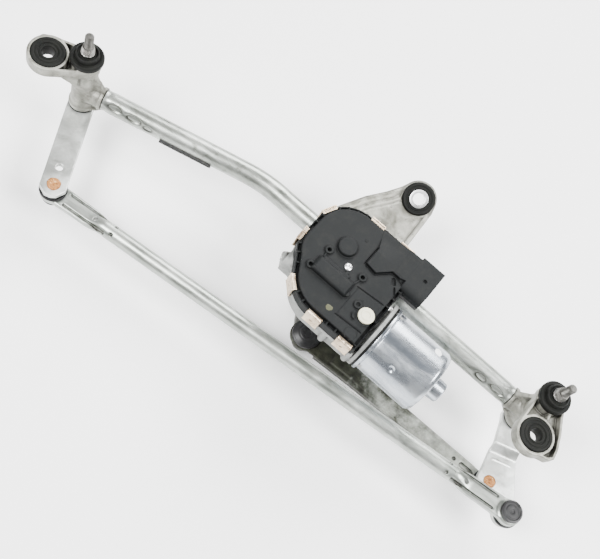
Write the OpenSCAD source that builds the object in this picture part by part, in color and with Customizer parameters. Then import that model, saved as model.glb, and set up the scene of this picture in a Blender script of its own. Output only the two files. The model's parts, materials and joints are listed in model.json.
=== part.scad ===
// Windshield wiper linkage with its motor.
// +X runs to the right spindle, +Z along the spindles towards their threaded tips.
// The modules work from the left spindle's axis, level with the middle of the lever plate;
// placed() then moves the origin to the middle of the left rubber mount.

/* [Spindles] */
// Distance between the two spindle axes
spindle_spacing = 500; // [480:1:540]
// Radius of the spindle shafts
spindle_r = 5; // [5:0.1:5.5]
// Height of the threaded tip above the lever plane
tip_z = 107; // [104:1:112]
// Radius of the tip thread (M8)
thread_r = 4; // [3.5:0.1:4]
// Height of the top of each spindle barrel
barrel_top = 76; // [74:1:78]
// Outer radius of each spindle barrel
barrel_r = 11; // [10.5:0.1:12]

/* [Frame tube] */
// Outer radius of the frame tube
tube_r = 10; // [9.5:0.1:10.2]
// Wall of the frame tube
tube_wall = 1.6; // [1.2:0.1:2.4]
// Height of the tube axis above the lever plane
tube_z = 26; // [25:1:27]
// Distance of the bend from the left spindle, along X
bend_x = 181; // [160:1:200]
// Offset of the bend from the line between the spindles
bend_y = 32.5; // [30:0.5:34]
// Radius of the bend
bend_r = 130; // [100:5:180]
// Distance from each spindle axis to the end of the tube
tube_start = 22; // [20:1:26]

/* [Rubber mounts] */
// Distance from the left spindle axis to the left rubber mount
left_ear_reach = 33; // [32.5:0.5:36]
// Distance from the right spindle axis to the right rubber mount
right_ear_reach = 37; // [34:0.5:38]
// Height of the middle of the side rubber mounts
ear_z = 65; // [63:1:66]
// Direction of the left rubber mount, degrees from +X
left_ear_angle = 208; // [196:1:214]
// Direction of the right rubber mount, degrees from +X
right_ear_angle = -87; // [-94:1:-78]
// Outer radius of a rubber mount
grommet_r = 15.5; // [14.5:0.1:16]
// Radius of the hole through the side rubber mounts
grommet_hole_r = 5.5; // [5:0.1:6.5]
// Radius of the hole in the centre mount's steel sleeve
sleeve_bore_r = 5.6; // [5:0.1:6]
// Tilt of the centre mount about X
centre_tilt = 33; // [28:1:38]

/* [Levers and rods] */
// Lever length, spindle to ball joint
lever_len = 90; // [86:1:94]
// Direction of both levers at rest, degrees from +X
lever_angle = -68; // [-70:0.5:-66]
// Distance from the right spindle to the short rod's pin
pin_len = 66; // [64:1:68]
// Direction of that pin at rest
pin_angle = -82.5; // [-84:0.5:-81]
// Lever plate thickness
lever_t = 5; // [4:0.5:5]
// Step down of the right lever's outer end
lever_step = 6; // [5:0.5:7]
// Ball radius of all ball joints
ball_r = 6; // [5.5:0.1:6]
// Outer radius of the long rod
rod_r = 7.8; // [7:0.1:8.2]
// Height of the ball under the left lever
left_ball_z = -12; // [-13:0.5:-11.5]
// Height of the ball above the right lever
right_ball_z = 6; // [6:0.5:8]
// Height of the short rod's two balls
short_rod_z = -18; // [-19:0.5:-17.5]

/* [Motor] */
// Distance of the output shaft from the right spindle, along X
shaft_back = 223; // [219:1:227]
// Offset of the output shaft along Y
shaft_y = 1.5; // [0:0.5:1.5]
// Crank length, shaft to ball
crank_len = 54; // [52:0.5:56]
// Crank direction at rest, degrees from +X
crank_angle = -68.5; // [-70:0.5:-67]
// Radius of the motor can
can_r = 31; // [29:0.5:31]
// Length of the motor can without its end boss
can_len = 58; // [54:1:62]
// Worm shaft to output shaft distance
worm_centre = 34; // [33.6:0.1:34.5]
// Height of the armature axis
can_z = 46; // [45:0.5:47]
// Height of the top face of the gear cover
cover_top = 72; // [71:1:74]
// Number of teeth on the worm wheel
wheel_teeth = 63; // [57:1:66]

/* [Hidden] */
$fn = 64;

running = 0.04;       // radial clearance of a shaft in its bush
ball_gap = 0.08;      // radial clearance of a ball in its plastic socket
spigot_r = tube_r - tube_wall;
spigot_len = 34;
left_tube_angle = atan2(bend_y, bend_x);
right_tube_angle = -atan2(bend_y, spindle_spacing - bend_x);
bend_angle = left_tube_angle - right_tube_angle;
bend_cut = bend_r * tan(bend_angle / 2);
left_tube_len = norm([bend_x, bend_y]) - tube_start - bend_cut;
right_tube_len = norm([spindle_spacing - bend_x, bend_y]) - tube_start - bend_cut;

left_mount = polar(left_ear_reach, left_ear_angle);
shaft_x = spindle_spacing - shaft_back;
left_ball_pos = polar(lever_len, lever_angle);
right_ball_pos = left_ball_pos + [spindle_spacing, 0];
pin_pos = polar(pin_len, pin_angle) + [spindle_spacing, 0];
crank_pos = polar(crank_len, crank_angle) + [shaft_x, shaft_y];
open_offset = [-0.4, -0.5];     // socket centre to ball centre at the open pivot, at rest
crank_socket_pos = crank_pos + open_offset;
open_gap = 2.2;                 // room around the ball at the open pivot
low_top = lever_t / 2 - lever_step;
low_bottom = low_top - lever_t;
crank_top = short_rod_z - 12;
crank_bottom = crank_top - 6;

housing_floor = 38;
cover_seam = 58;
clip_rise = 9.4;        // seat of the clips above the cover seam
plug_place = [52, -39.5];
rivet_place = [13.2, -14.2];
can_start = 76;
can_end = can_start + can_len;
can_screw_angles = [30, 150, 270];
grommet_h = 13;
ring_r = grommet_r + 2.6;
seat_r = grommet_r - 3;         // radius of the groove that the cast ring sits in
centre_mount = [spindle_spacing - 193, 102, 50];

function polar(r, a) = [r * cos(a), r * sin(a)];
function arc(c, r, a0, a1, n = 12) = [for (i = [0:n]) c + polar(r, a0 + (a1 - a0) * i / n)];

// Moves the origin to the middle of the left rubber mount
module placed() { translate([-left_mount[0], -left_mount[1], -ear_z]) children(); }

// Places children at the right spindle
module at_right() { translate([spindle_spacing, 0, 0]) children(); }

// Motor frame: origin on the output shaft, X along the armature towards the can
module in_motor() { translate([shaft_x, shaft_y, 0]) rotate(right_tube_angle) children(); }

// Armature frame: Z along the armature shaft, level with the output shaft at Z = 0
module on_armature() { in_motor() translate([0, -worm_centre, can_z]) rotate([0, 90, 0]) children(); }

module at_centre_mount() { translate(centre_mount) rotate([centre_tilt, 0, 0]) children(); }

module ring(r_out, r_in, h) {
  difference() {
    cylinder(r = r_out, h = h);
    translate([0, 0, -1]) cylinder(r = r_in, h = h + 2);
  }
}

// ---------- frame ----------

// Sections along the tube: x, y and heading
function tube_path(n) = let (c = polar(tube_start + left_tube_len, left_tube_angle) + polar(bend_r, left_tube_angle - 90))
  concat(
    [section(polar(tube_start, left_tube_angle), left_tube_angle)],
    [for (i = [0:n]) section(c + polar(bend_r, left_tube_angle + 90 - bend_angle * i / n),
                             left_tube_angle - bend_angle * i / n)],
    [section([spindle_spacing, 0] + polar(tube_start, right_tube_angle + 180), right_tube_angle)]
  );

function section(p, heading) = [p[0], p[1], heading];

function section_ring(s, r, sides) = [for (i = [0:sides - 1]) let (side = r * cos(360 * i / sides))
  [s[0] - side * sin(s[2]), s[1] + side * cos(s[2]), tube_z + r * sin(360 * i / sides)]];

// Triangles between two rings of points that start at a and b
function band(a, b, sides) = [for (i = [0:sides - 1]) let (j = (i + 1) % sides)
  each [[a + i, b + i, b + j], [a + i, b + j, a + j]]];

// Bent steel tube, swept along its path
module frame_tube() {
  sides = 48;
  path = tube_path(9);
  last = len(path) - 1;
  inside = len(path) * sides;
  color("silver") polyhedron(
    points = concat(
      [for (s = path) each section_ring(s, tube_r, sides)],
      [for (s = path) each section_ring(s, spigot_r, sides)]
    ),
    faces = concat(
      [for (k = [0:last - 1]) each band((k + 1) * sides, k * sides, sides)],
      [for (k = [0:last - 1]) each band(inside + k * sides, inside + (k + 1) * sides, sides)],
      band(0, inside, sides),
      band(inside + last * sides, last * sides, sides)
    )
  );
}

// Foam strip that lies along the underside of the tube
module tube_strip() {
  color([0.1, 0.1, 0.1])
    translate([0, 0, tube_z]) rotate(left_tube_angle) translate([82, 0, 0]) rotate([0, 90, 0])
      intersection() {
        ring(tube_r + 2.4, tube_r + 0.02, 52);
        translate([0, -20, -1]) rotate(28) cube([20, 20, 60]);
      }
}

// Cast spindle housing: barrel, neck for the tube, and the ring for the rubber mount
module spindle_housing(ear_angle, ear_reach, neck_angle) {
  difference() {
    union() {
      translate([0, 0, 5]) cylinder(r = barrel_r, h = barrel_top - 5);
      translate([0, 0, 56]) cylinder(r1 = barrel_r - 0.5, r2 = barrel_r + 1.6, h = barrel_top - 56);
      rotate(ear_angle) translate([ear_reach, 0, ear_z - 5]) cylinder(r = ring_r, h = 10);
      rotate(ear_angle) ear_webs(ear_reach);
      translate([0, 0, tube_z]) rotate([0, 90, neck_angle]) cylinder(r = tube_r, h = tube_start);
      translate([0, 0, tube_z]) rotate([0, 90, neck_angle])
        cylinder(r = spigot_r - 0.1, h = tube_start + spigot_len);
      rotate(neck_angle) translate([0, -2, tube_z]) neck_rib();
    }
    translate([0, 0, 0]) cylinder(r = 7, h = barrel_top + 1);
    rotate(ear_angle) translate([ear_reach, 0, ear_z - 6]) cylinder(r = seat_r, h = 12);
    rotate(ear_angle) translate([ear_reach, 0, ear_z + 2]) cylinder(r = grommet_r, h = 4);
    rotate(ear_angle) translate([ear_reach, 0, ear_z - 8]) cylinder(r = grommet_r, h = 6);
  }
}

// Webs between the barrel and the mount ring, with a pocket between two ribs
module ear_webs(ear_reach) {
  translate([0, -14, ear_z - 5]) cube([ear_reach - 10, 28, 4]);
  for (side = [-1, 1])
    translate([0, side * 12 - 2, 0]) rotate([90, 0, 0]) translate([0, 0, -4])
      linear_extrude(4) polygon([[5, 50], [10, 50], [ear_reach - 9, ear_z - 5], [ear_reach - 9, ear_z + 4],
                                 [5, ear_z + 4]]);
}

module neck_rib() {
  rotate([90, 0, 0]) translate([0, 0, -4])
    linear_extrude(4) polygon([[8, 0], [tube_start - 1, 8], [tube_start - 1, 11], [8, 30]]);
}

module left_housing() {
  color([0.68, 0.68, 0.66]) spindle_housing(left_ear_angle, left_ear_reach, left_tube_angle);
}

module right_housing() {
  color([0.68, 0.68, 0.66]) at_right() spindle_housing(right_ear_angle, right_ear_reach, right_tube_angle + 180);
}

// Two sintered bushes in each barrel
module bush_pair() {
  for (z = [8, barrel_top - 18]) translate([0, 0, z]) ring(7, spindle_r + running, 16);
}

module left_bushes() { color([0.72, 0.5, 0.25]) bush_pair(); }

module right_bushes() { color([0.72, 0.5, 0.25]) at_right() bush_pair(); }

// Rubber lip ring between the barrel and the lever
module spindle_seal() {
  translate([0, 0, 3]) ring(barrel_r + 0.6, spindle_r + 0.4, 2);
}

module left_seal() { color([0.07, 0.07, 0.07]) spindle_seal(); }

module right_seal() { color([0.07, 0.07, 0.07]) at_right() spindle_seal(); }

// Stepped rubber cap over the top of a barrel
module spindle_cap() {
  rotate_extrude() polygon([
    [spindle_r + 0.4, barrel_top + 6], [spindle_r + 0.4, barrel_top + 3.4], [9.4, barrel_top + 3.4],
    [9.4, barrel_top], [barrel_r + 1.8, barrel_top], [barrel_r + 1.8, barrel_top - 3],
    [14.6, barrel_top - 3], [14.6, barrel_top + 1], [13.6, barrel_top + 2.2],
    [10.4, barrel_top + 2.2], [10, barrel_top + 6.6], [8.6, barrel_top + 7.4], [7.6, barrel_top + 6]
  ]);
}

module left_cap() { color([0.06, 0.06, 0.06]) spindle_cap(); }

module right_cap() { color([0.06, 0.06, 0.06]) at_right() spindle_cap(); }

// Rubber mount: two collars joined by a waist that the cast ring grips
module grommet(hole_r) {
  h = grommet_h / 2;
  rotate_extrude() polygon([
    [hole_r, -h], [grommet_r - 1.5, -h], [grommet_r - 0.02, -h + 1.5], [grommet_r - 0.02, -2.02],
    [seat_r - 0.02, -2.02], [seat_r - 0.02, 2.02], [grommet_r - 0.02, 2.02], [grommet_r - 0.02, h - 1.5],
    [grommet_r - 1.5, h], [11.5, h], [11, h - 1], [9, h - 1], [8.5, h], [hole_r, h]
  ]);
}

module left_grommet() {
  color([0.05, 0.05, 0.05])
    rotate(left_ear_angle) translate([left_ear_reach, 0, ear_z]) grommet(grommet_hole_r);
}

module right_grommet() {
  color([0.05, 0.05, 0.05])
    at_right() rotate(right_ear_angle) translate([right_ear_reach, 0, ear_z]) grommet(grommet_hole_r);
}

module centre_grommet() {
  color([0.05, 0.05, 0.05]) at_centre_mount() grommet(sleeve_bore_r + 1.5);
}

module centre_sleeve() {
  color([0.8, 0.8, 0.8]) at_centre_mount() translate([0, 0, -8]) ring(sleeve_bore_r + 1.48, sleeve_bore_r, 16);
}

// Cast bracket: saddle on the tube, feet under the gear housing, tilted ring for the rubber mount
module motor_bracket() {
  color([0.7, 0.7, 0.68])
  difference() {
    union() {
      intersection() {
        in_motor() translate([-26, tube_side(), tube_z]) rotate([0, 90, 0]) cylinder(r = tube_r + 4, h = 80);
        in_motor() translate([-50, 0, 0]) cube([140, 60, housing_floor - 0.5]);
      }
      hull() {
        in_motor() translate([-26, tube_side() + 8, 26]) cube([80, 6, 11]);
        at_centre_mount() translate([0, 0, -5]) cylinder(r = ring_r - 3, h = 6, $fn = 32);
      }
      at_centre_mount() translate([0, 0, -5]) cylinder(r = ring_r, h = 10);
      for (p = bracket_feet()) in_motor() translate([p[0], p[1], 30]) cylinder(r = 6.5, h = housing_floor - 30.02);
      in_motor() foot_bar(bracket_feet()[0]);
      in_motor() foot_bar(bracket_feet()[1]);
    }
    in_motor() translate([-60, tube_side(), tube_z]) rotate([0, 90, 0]) cylinder(r = tube_r + 0.01, h = 160);
    at_centre_mount() translate([0, 0, -30]) cylinder(r = seat_r, h = 60);
    at_centre_mount() translate([0, 0, 2]) cylinder(r = grommet_r, h = 30);
    at_centre_mount() translate([0, 0, -32]) cylinder(r = grommet_r, h = 30);
    in_motor() bracket_pocket(-14, 8);
    in_motor() bracket_pocket(14, 40);
    for (p = bracket_feet()) in_motor() translate([p[0], p[1], 0]) {
      cylinder(r = 3.2, h = 60);
      cylinder(r = 6.6, h = 30);
    }
    in_motor() cylinder(r = 10.4, h = 60);
    in_motor() translate([-60, -60, housing_floor - 0.1]) cube([150, 103.2, 40]);
  }
}

// Distance of the tube axis from the output shaft, across the motor frame
function tube_side() = let (d = [spindle_spacing - shaft_x, -shaft_y])
  d[0] * sin(-right_tube_angle) + d[1] * cos(right_tube_angle);

// Screw places between the bracket and the gear housing
function bracket_feet() = [[-20, tube_side() - 17.5], [44, tube_side() - 17.5], [12, tube_side() + 17.5]];

module foot_bar(p) {
  translate([p[0] - 5, p[1], 30]) cube([10, 12, housing_floor - 30.02]);
}

// Weight-saving pocket sunk into the top of the bracket arm
module bracket_pocket(x0, x1) {
  translate([0, 0, 34]) linear_extrude(60)
    polygon([[x0, 45], [x1, 45], [(x0 + x1) / 2 + 10 + (x1 - x0) / 6, 62], [(x0 + x1) / 2 + 6, 62]]);
}

module bracket_screws() {
  color([0.6, 0.6, 0.6])
    for (p = bracket_feet()) in_motor() translate([p[0], p[1], 0]) {
      translate([0, 0, 25]) cylinder(r = 6, h = 4.98, $fn = 6);
      translate([0, 0, 29.9]) cylinder(r = 2.98, h = housing_floor + 2.4 - 29.9);
    }
}

// ---------- gearbox ----------

// Plan outline of the gearbox, in the motor frame
module gearbox_outline(inset = 0) {
  polygon(concat(
    arc([0, 6], 36.5 - inset, 90, 180, 24),
    arc([-5.5, -15], 31 - inset, 180, 224, 12),
    arc([14, -30], 39.5 - inset, 212, 270, 16),
    [[64 - inset, -69.5 + inset], [64 - inset, 42.5 - inset]]
  ));
}

module gear_housing() {
  color([0.6, 0.6, 0.6])
  difference() {
    union() {
      in_motor() translate([0, 0, housing_floor]) linear_extrude(cover_seam - 0.5 - housing_floor)
        gearbox_outline(3);
      in_motor() translate([0, 0, cover_seam - 4]) linear_extrude(3.5) gearbox_outline(0.8);
      in_motor() translate([0, 0, 12]) cylinder(r = 10, h = housing_floor - 11);
      on_armature() translate([0, 0, -33]) cylinder(r = 11.4, h = 98);
      intersection() {
        on_armature() translate([0, 0, 30]) cylinder(r = 25, h = 35.9);
        in_motor() translate([20, -80, 20]) cube([60, 80, cover_seam - 20.5]);
      }
      on_armature() translate([0, 0, 65.9]) cylinder(r = can_r + 2, h = 6);
    }
    in_motor() translate([0, 0, housing_floor + 2.5]) cylinder(r = 31, h = 30);
    in_motor() translate([0, 0, cover_seam - 5]) linear_extrude(10) gearbox_outline(5.4);
    in_motor() translate([0, 0, 0]) cylinder(r = 8, h = 60);
    on_armature() translate([0, 0, -30]) cylinder(r = 9, h = 110);
    on_armature() translate([0, 0, -34]) cylinder(r = 3, h = 10);
    for (p = bracket_feet()) in_motor() translate([p[0], p[1], housing_floor - 1]) cylinder(r = 3, h = 3.5);
    for (a = can_screw_angles) on_armature() rotate(a) translate([can_r, 0, 64]) cylinder(r = 1.26, h = 10);
  }
}

// Screw in the end wall that takes up the armature's end play
module thrust_screw() {
  color([0.5, 0.5, 0.5]) on_armature() {
    translate([0, 0, -35.5]) cylinder(r = 2.98, h = 7);
    translate([0, 0, -37]) cylinder(r = 4.6, h = 2, $fn = 6);
  }
}

module output_bush() {
  color([0.72, 0.5, 0.25]) in_motor() translate([0, 0, 12]) ring(8, 6 + running, housing_floor - 12);
}

module cover_gasket() {
  color([0.08, 0.08, 0.08]) in_motor() translate([0, 0, cover_seam - 0.5]) linear_extrude(0.5)
    difference() {
      gearbox_outline(1.2);
      gearbox_outline(3.4);
    }
}

module gear_cover() {
  color([0.16, 0.16, 0.17])
  difference() {
    union() {
      in_motor() translate([0, 0, cover_seam]) linear_extrude(cover_top - 2 - cover_seam) gearbox_outline(0.8);
      in_motor() translate([0, 0, cover_top - 2]) linear_extrude(2) gearbox_outline(2);
      in_motor() translate([50, 4, cover_seam]) cube([32, 38.5, cover_top - cover_seam]);
      in_motor() translate([64.4, 4, cover_seam - 6]) cube([17.6, 38.5, 8]);
      in_motor() translate([24, 8, cover_top - 1]) cube([57, 33, 4]);
      in_motor() translate([0, 2, cover_top - 1]) cylinder(r = 9, h = 5);
      in_motor() translate([-12, -38, cover_top - 1]) cube([37, 15, 6]);
      for (p = cover_bosses()) in_motor() translate([p[0], p[1], cover_top - 1]) cylinder(r = 4, h = 3.4);
      in_motor() translate([plug_place[0], plug_place[1], cover_top - 1]) cylinder(r = 9.4, h = 2.4);
    }
    in_motor() translate([0, 0, cover_seam - 1]) linear_extrude(cover_top - 2.5 - cover_seam + 1)
      gearbox_outline(3.4);
    in_motor() translate([56, 8, cover_top - 17]) cube([40, 30.5, 14]);
    in_motor() translate([plug_place[0], plug_place[1], cover_top - 4]) cylinder(r = 5, h = 8);
    for (p = cover_bosses()) in_motor() translate([p[0], p[1], cover_top + 0.4]) cylinder(r = 1.6, h = 4);
    for (y = [-30, -46, -62]) in_motor() translate([59, y, cover_top - 3]) cube([2.4, 11, 6]);
    in_motor() translate([rivet_place[0], rivet_place[1], cover_top - 3]) cylinder(r = 2, h = 8);
    for (c = clip_places()) in_motor() translate([c[0], c[1], cover_seam]) rotate(c[2])
      translate([-1, -7.9, clip_rise - 0.1]) cube([10, 15.8, 10]);
    on_armature() translate([0, 0, 61.4]) cylinder(r = can_r + 2.4, h = 12);
  }
}

// Small moulded screw bosses on the cover
function cover_bosses() = [[-9, -13], [-13, -34], [28, -12], [38, -34]];

// Spring clips that hold the cover on the housing: place and direction round the outline
function clip_places() = [
  [-31.3, 19.3, 157], [-34.2, -15.6, 182], [-12.2, -56.2, 225], [19.3, -67, 270], [52.8, -67, 270],
  [7.8, 40.5, 90], [41.8, 40.5, 90]
];

module cover_clips() {
  color([0.72, 0.66, 0.5])
    for (c = clip_places()) in_motor() translate([c[0], c[1], 0]) rotate(c[2]) cover_clip();
}

// C-shaped clip: hooked under the housing rim, over the edge of the cover
module cover_clip() {
  translate([2.2, -7.5, cover_seam - 5.4]) cube([1.2, 15, clip_rise + 6.6]);
  translate([-0.6, -7.5, cover_seam + clip_rise]) cube([4, 15, 1.2]);
  translate([0.2, -7.5, cover_seam - 5.4]) cube([3.2, 15, 1.2]);
}

module breather_plug() {
  color([0.85, 0.82, 0.68]) in_motor() translate([plug_place[0], plug_place[1], cover_top - 3.6]) {
    cylinder(r = 4.95, h = 5);
    translate([0, 0, 5.02]) cylinder(r = 7.4, h = 2.4);
    translate([0, 0, 4.9]) cylinder(r = 4, h = 1);
    translate([0, 0, 7.3]) ring(4.4, 3, 0.9);
  }
}

module cover_rivet() {
  color([0.75, 0.75, 0.75]) in_motor() translate([rivet_place[0], rivet_place[1], cover_top - 2.4]) {
    cylinder(r = 1.95, h = 3);
    translate([0, 0, 2.42]) cylinder(r = 3.6, h = 1.6);
  }
}

// Control board under the cover, cut back around the flange of the can
module circuit_board() {
  color([0.1, 0.35, 0.15]) in_motor() difference() {
    union() {
      translate([0, 0, 60]) linear_extrude(1.6) gearbox_outline(5);
      translate([-20, -10, 61.5]) cube([14, 10, 4]);
      translate([20, 16, 61.5]) cube([16, 12, 5]);
      translate([-8, 18, 61.5]) cylinder(r = 4, h = 6);
      translate([8, 26, 61.5]) cylinder(r = 4, h = 6);
    }
    translate([54, -34 - can_r - 4, 55]) cube([20, 2 * can_r + 8, 20]);
    translate([rivet_place[0], rivet_place[1], 55]) cylinder(r = 3, h = 10);
    translate([plug_place[0], plug_place[1], 55]) cylinder(r = 8, h = 10);
  }
}

module connector_pins() {
  color([0.8, 0.7, 0.35])
    for (i = [0:4]) in_motor() translate([53, 13 + 5 * i, cover_top - 10.4]) cube([20, 1.6, 0.8]);
}

// ---------- motor ----------

module motor_can() {
  color([0.7, 0.71, 0.72]) on_armature() difference() {
    can_shell();
    for (a = can_screw_angles) rotate(a) translate([can_r, 0, can_start - 1]) cylinder(r = 1.3, h = 4);
  }
}

module can_shell() {
  rotate_extrude($fn = 96) polygon(concat(
    [[can_r + 1.6, can_start], [can_r + 1.6, can_start + 1.8], [can_r, can_start + 1.8]],
    arc([can_r - 7, can_end - 7], 7, 0, 90, 8),
    [[10.5, can_end], [9.2, can_end + 1.2], [9.2, can_end + 11], [8, can_end + 12.4],
     [0, can_end + 12.4], [0, can_end + 10.6], [7.4, can_end + 10.6], [7.4, can_end - 1.8]],
    arc([can_r - 7, can_end - 7], 5.2, 90, 0, 8),
    [[can_r - 1.8, can_start]]
  ));
}

// Double-lipped sealing ring between the gear housing and the can
module can_seal() {
  color([0.09, 0.09, 0.09]) on_armature() difference() {
    union() {
      translate([0, 0, 71.92]) cylinder(r = can_r + 1.4, h = can_start - 71.94);
      translate([0, 0, 72.4]) cylinder(r = can_r + 2.6, h = 1.2);
      translate([0, 0, 74.4]) cylinder(r = can_r + 2.6, h = 1.2);
    }
    translate([0, 0, 70]) cylinder(r = can_r - 1.6, h = 10);
    for (a = can_screw_angles) rotate(a) translate([can_r, 0, 70]) cylinder(r = 1.3, h = 10);
  }
}

module can_screws() {
  color([0.55, 0.55, 0.55])
    for (a = can_screw_angles) on_armature() rotate(a) translate([can_r, 0, 0]) {
      translate([0, 0, 65.8]) cylinder(r = 1.24, h = can_start + 1.7 - 65.8);
      translate([0, 0, 64]) cylinder(r = 2.3, h = 1.88);
    }
}

module magnets() {
  color([0.25, 0.25, 0.27]) on_armature() translate([0, 0, can_start + 8]) difference() {
    ring(can_r - 1.82, 22.5, 40);
    for (a = [0, 90]) rotate(a) translate([-40, -6, -1]) cube([80, 12, 42]);
  }
}

module brush_holder() {
  color([0.3, 0.22, 0.15]) on_armature() difference() {
    translate([0, 0, 77]) cylinder(r = 26, h = 3);
    translate([0, 0, 70]) cylinder(r = 12.4, h = 20);
  }
}

module brushes() {
  color([0.15, 0.15, 0.15]) on_armature()
    for (a = [0, 180]) rotate(a) translate([11.4, -3, 80.02]) cube([9, 6, 3.4]);
}

module front_bearing() {
  color([0.65, 0.65, 0.68]) on_armature() translate([0, 0, 22]) ring(9, 4 + running, 8);
}

module rear_bearing() {
  color([0.72, 0.5, 0.25]) on_armature() translate([0, 0, can_end]) ring(7.4, 4 + running, 9);
}

module armature_shaft() {
  color([0.75, 0.75, 0.77]) on_armature() {
    translate([0, 0, -28]) cylinder(r = 3, h = 48.1);
    translate([0, 0, 20]) cylinder(r = 4, h = can_end - 11);
  }
}

module armature_core() {
  color([0.35, 0.35, 0.37]) on_armature() translate([0, 0, can_start + 14]) difference() {
    cylinder(r = 21.5, h = 28);
    translate([0, 0, -1]) cylinder(r = 4, h = 30);
    for (i = [0:9]) rotate(i * 36) translate([11, -1.6, -1]) cube([12, 3.2, 30]);
  }
}

// Copper end turns on both ends of the core
module windings() {
  color([0.72, 0.36, 0.15]) on_armature() {
    translate([0, 0, can_start + 8.02]) ring(17.5, 4, 5.96);
    translate([0, 0, can_start + 42.02]) ring(17.5, 4, 6);
  }
}

module commutator() {
  color([0.75, 0.45, 0.2]) on_armature() translate([0, 0, 74]) difference() {
    cylinder(r = 11, h = 9.9);
    translate([0, 0, -1]) cylinder(r = 4, h = 12);
    for (i = [0:19]) rotate(i * 18) translate([10.2, -0.3, -1]) cube([2, 0.6, 12]);
  }
}

// Worm: stacked thread ridges on a sleeve
module worm() {
  pitch = 2 * PI * (worm_centre - 5) / wheel_teeth;
  turns = 7;
  color([0.6, 0.6, 0.62]) on_armature() difference() {
    union() {
      translate([0, 0, -13]) cylinder(r = 4, h = 26);
      for (i = [-turns / 2 + 0.5:turns / 2]) translate([0, 0, i * pitch]) {
        translate([0, 0, -0.9]) cylinder(r1 = 4, r2 = 5.2, h = 0.7);
        translate([0, 0, -0.2]) cylinder(r = 5.2, h = 0.4);
        translate([0, 0, 0.2]) cylinder(r1 = 5.2, r2 = 4, h = 0.7);
      }
    }
    translate([0, 0, -14]) cylinder(r = 3, h = 28);
  }
}

module worm_wheel() {
  wheel_r = worm_centre - 5.6;
  color([0.85, 0.84, 0.78]) in_motor() translate([0, 0, can_z - 5]) difference() {
    cylinder(r = wheel_r, h = 10, $fn = 96);
    translate([0, 0, -1]) cylinder(r = 6, h = 12);
    for (i = [0:wheel_teeth - 1]) rotate(i * 360 / wheel_teeth)
      translate([wheel_r - 1.6, -0.7, -1]) cube([4, 1.4, 12]);
    translate([0, 0, 7]) ring(24, 10, 4);
  }
}

module output_shaft() {
  color([0.7, 0.7, 0.72]) in_motor() {
    translate([0, 0, crank_bottom]) cylinder(r = 6, h = can_z + 5 - crank_bottom);
    translate([0, 0, crank_bottom - 8]) cylinder(r = 4, h = 8.1);
  }
}

module crank_nut() {
  color([0.65, 0.63, 0.55]) in_motor() translate([0, 0, crank_bottom - 6.02]) difference() {
    cylinder(r = 8.6, h = 6, $fn = 6);
    translate([0, 0, -1]) cylinder(r = 4, h = 8);
  }
}

module crank_arm() {
  dir = crank_angle;
  color([0.35, 0.35, 0.35]) translate([shaft_x, shaft_y, 0]) rotate(dir) difference() {
    union() {
      hull() {
        translate([0, 0, crank_bottom]) cylinder(r = 13, h = 6, $fn = 48);
        translate([crank_len, 0, crank_bottom]) cylinder(r = 9.5, h = 6, $fn = 48);
      }
      translate([0, 0, crank_bottom]) cylinder(r = 11, h = 14);
    }
    translate([0, 0, crank_bottom - 1]) cylinder(r = 6, h = 20);
    translate([crank_len, 0, crank_bottom - 1]) cylinder(r = 3.5, h = 10);
  }
}

// Ball stud: ball at the origin, shank of radius 3.5 towards +Z, riveted over at z = length
module ball_stud(length, head_r = 5.5) {
  cylinder(r = 3.48, h = length + 0.5);
  sphere(r = ball_r);
  translate([0, 0, length]) cylinder(r1 = head_r, r2 = head_r - 1.6, h = 2);
}

module crank_ball() {
  color([0.6, 0.6, 0.6]) translate([crank_pos[0], crank_pos[1], short_rod_z]) rotate([180, 0, 0])
    ball_stud(short_rod_z - crank_bottom);
}

// ---------- spindles and levers ----------

module spindle() {
  translate([0, 0, -4.5]) cylinder(r1 = 6, r2 = 7, h = 2);
  translate([0, 0, -3]) cylinder(r = spindle_r, h = barrel_top + 12);
  translate([0, 0, barrel_top + 8.6]) cylinder(r1 = 6.2, r2 = 5, h = 8);
  translate([0, 0, barrel_top + 16]) cylinder(r = thread_r, h = tip_z - barrel_top - 17);
  translate([0, 0, tip_z - 1.01]) cylinder(r1 = thread_r, r2 = thread_r - 0.8, h = 1);
}

module left_spindle() { color([0.72, 0.7, 0.68]) spindle(); }

module right_spindle() { color([0.72, 0.7, 0.68]) at_right() spindle(); }

// Spring clip that keeps the spindle down in its barrel
module spindle_clip() {
  translate([0, 0, barrel_top + 0.3]) difference() {
    ring(8, spindle_r, 1.4);
    rotate(-20) translate([2, -2, -1]) cube([10, 4, 4]);
  }
}

module left_clip() { color([0.4, 0.4, 0.42]) spindle_clip(); }

module right_clip() { color([0.4, 0.4, 0.42]) at_right() spindle_clip(); }

module left_lever() {
  color([0.75, 0.75, 0.73]) difference() {
    hull() {
      translate([0, 0, -lever_t / 2]) cylinder(r = 12.5, h = lever_t, $fn = 48);
      translate([left_ball_pos[0], left_ball_pos[1], -lever_t / 2]) cylinder(r = 12, h = lever_t, $fn = 48);
    }
    translate([0, 0, -10]) cylinder(r = spindle_r, h = 20);
    translate([left_ball_pos[0], left_ball_pos[1], -10]) cylinder(r = 3.5, h = 20);
    rotate(lever_angle) translate([lever_len - 18, 0, -10]) cylinder(r = 3, h = 20);
  }
}

module left_ball() {
  color([0.55, 0.35, 0.2]) translate([left_ball_pos[0], left_ball_pos[1], left_ball_z])
    ball_stud(lever_t / 2 - left_ball_z, 6);
}

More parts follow.
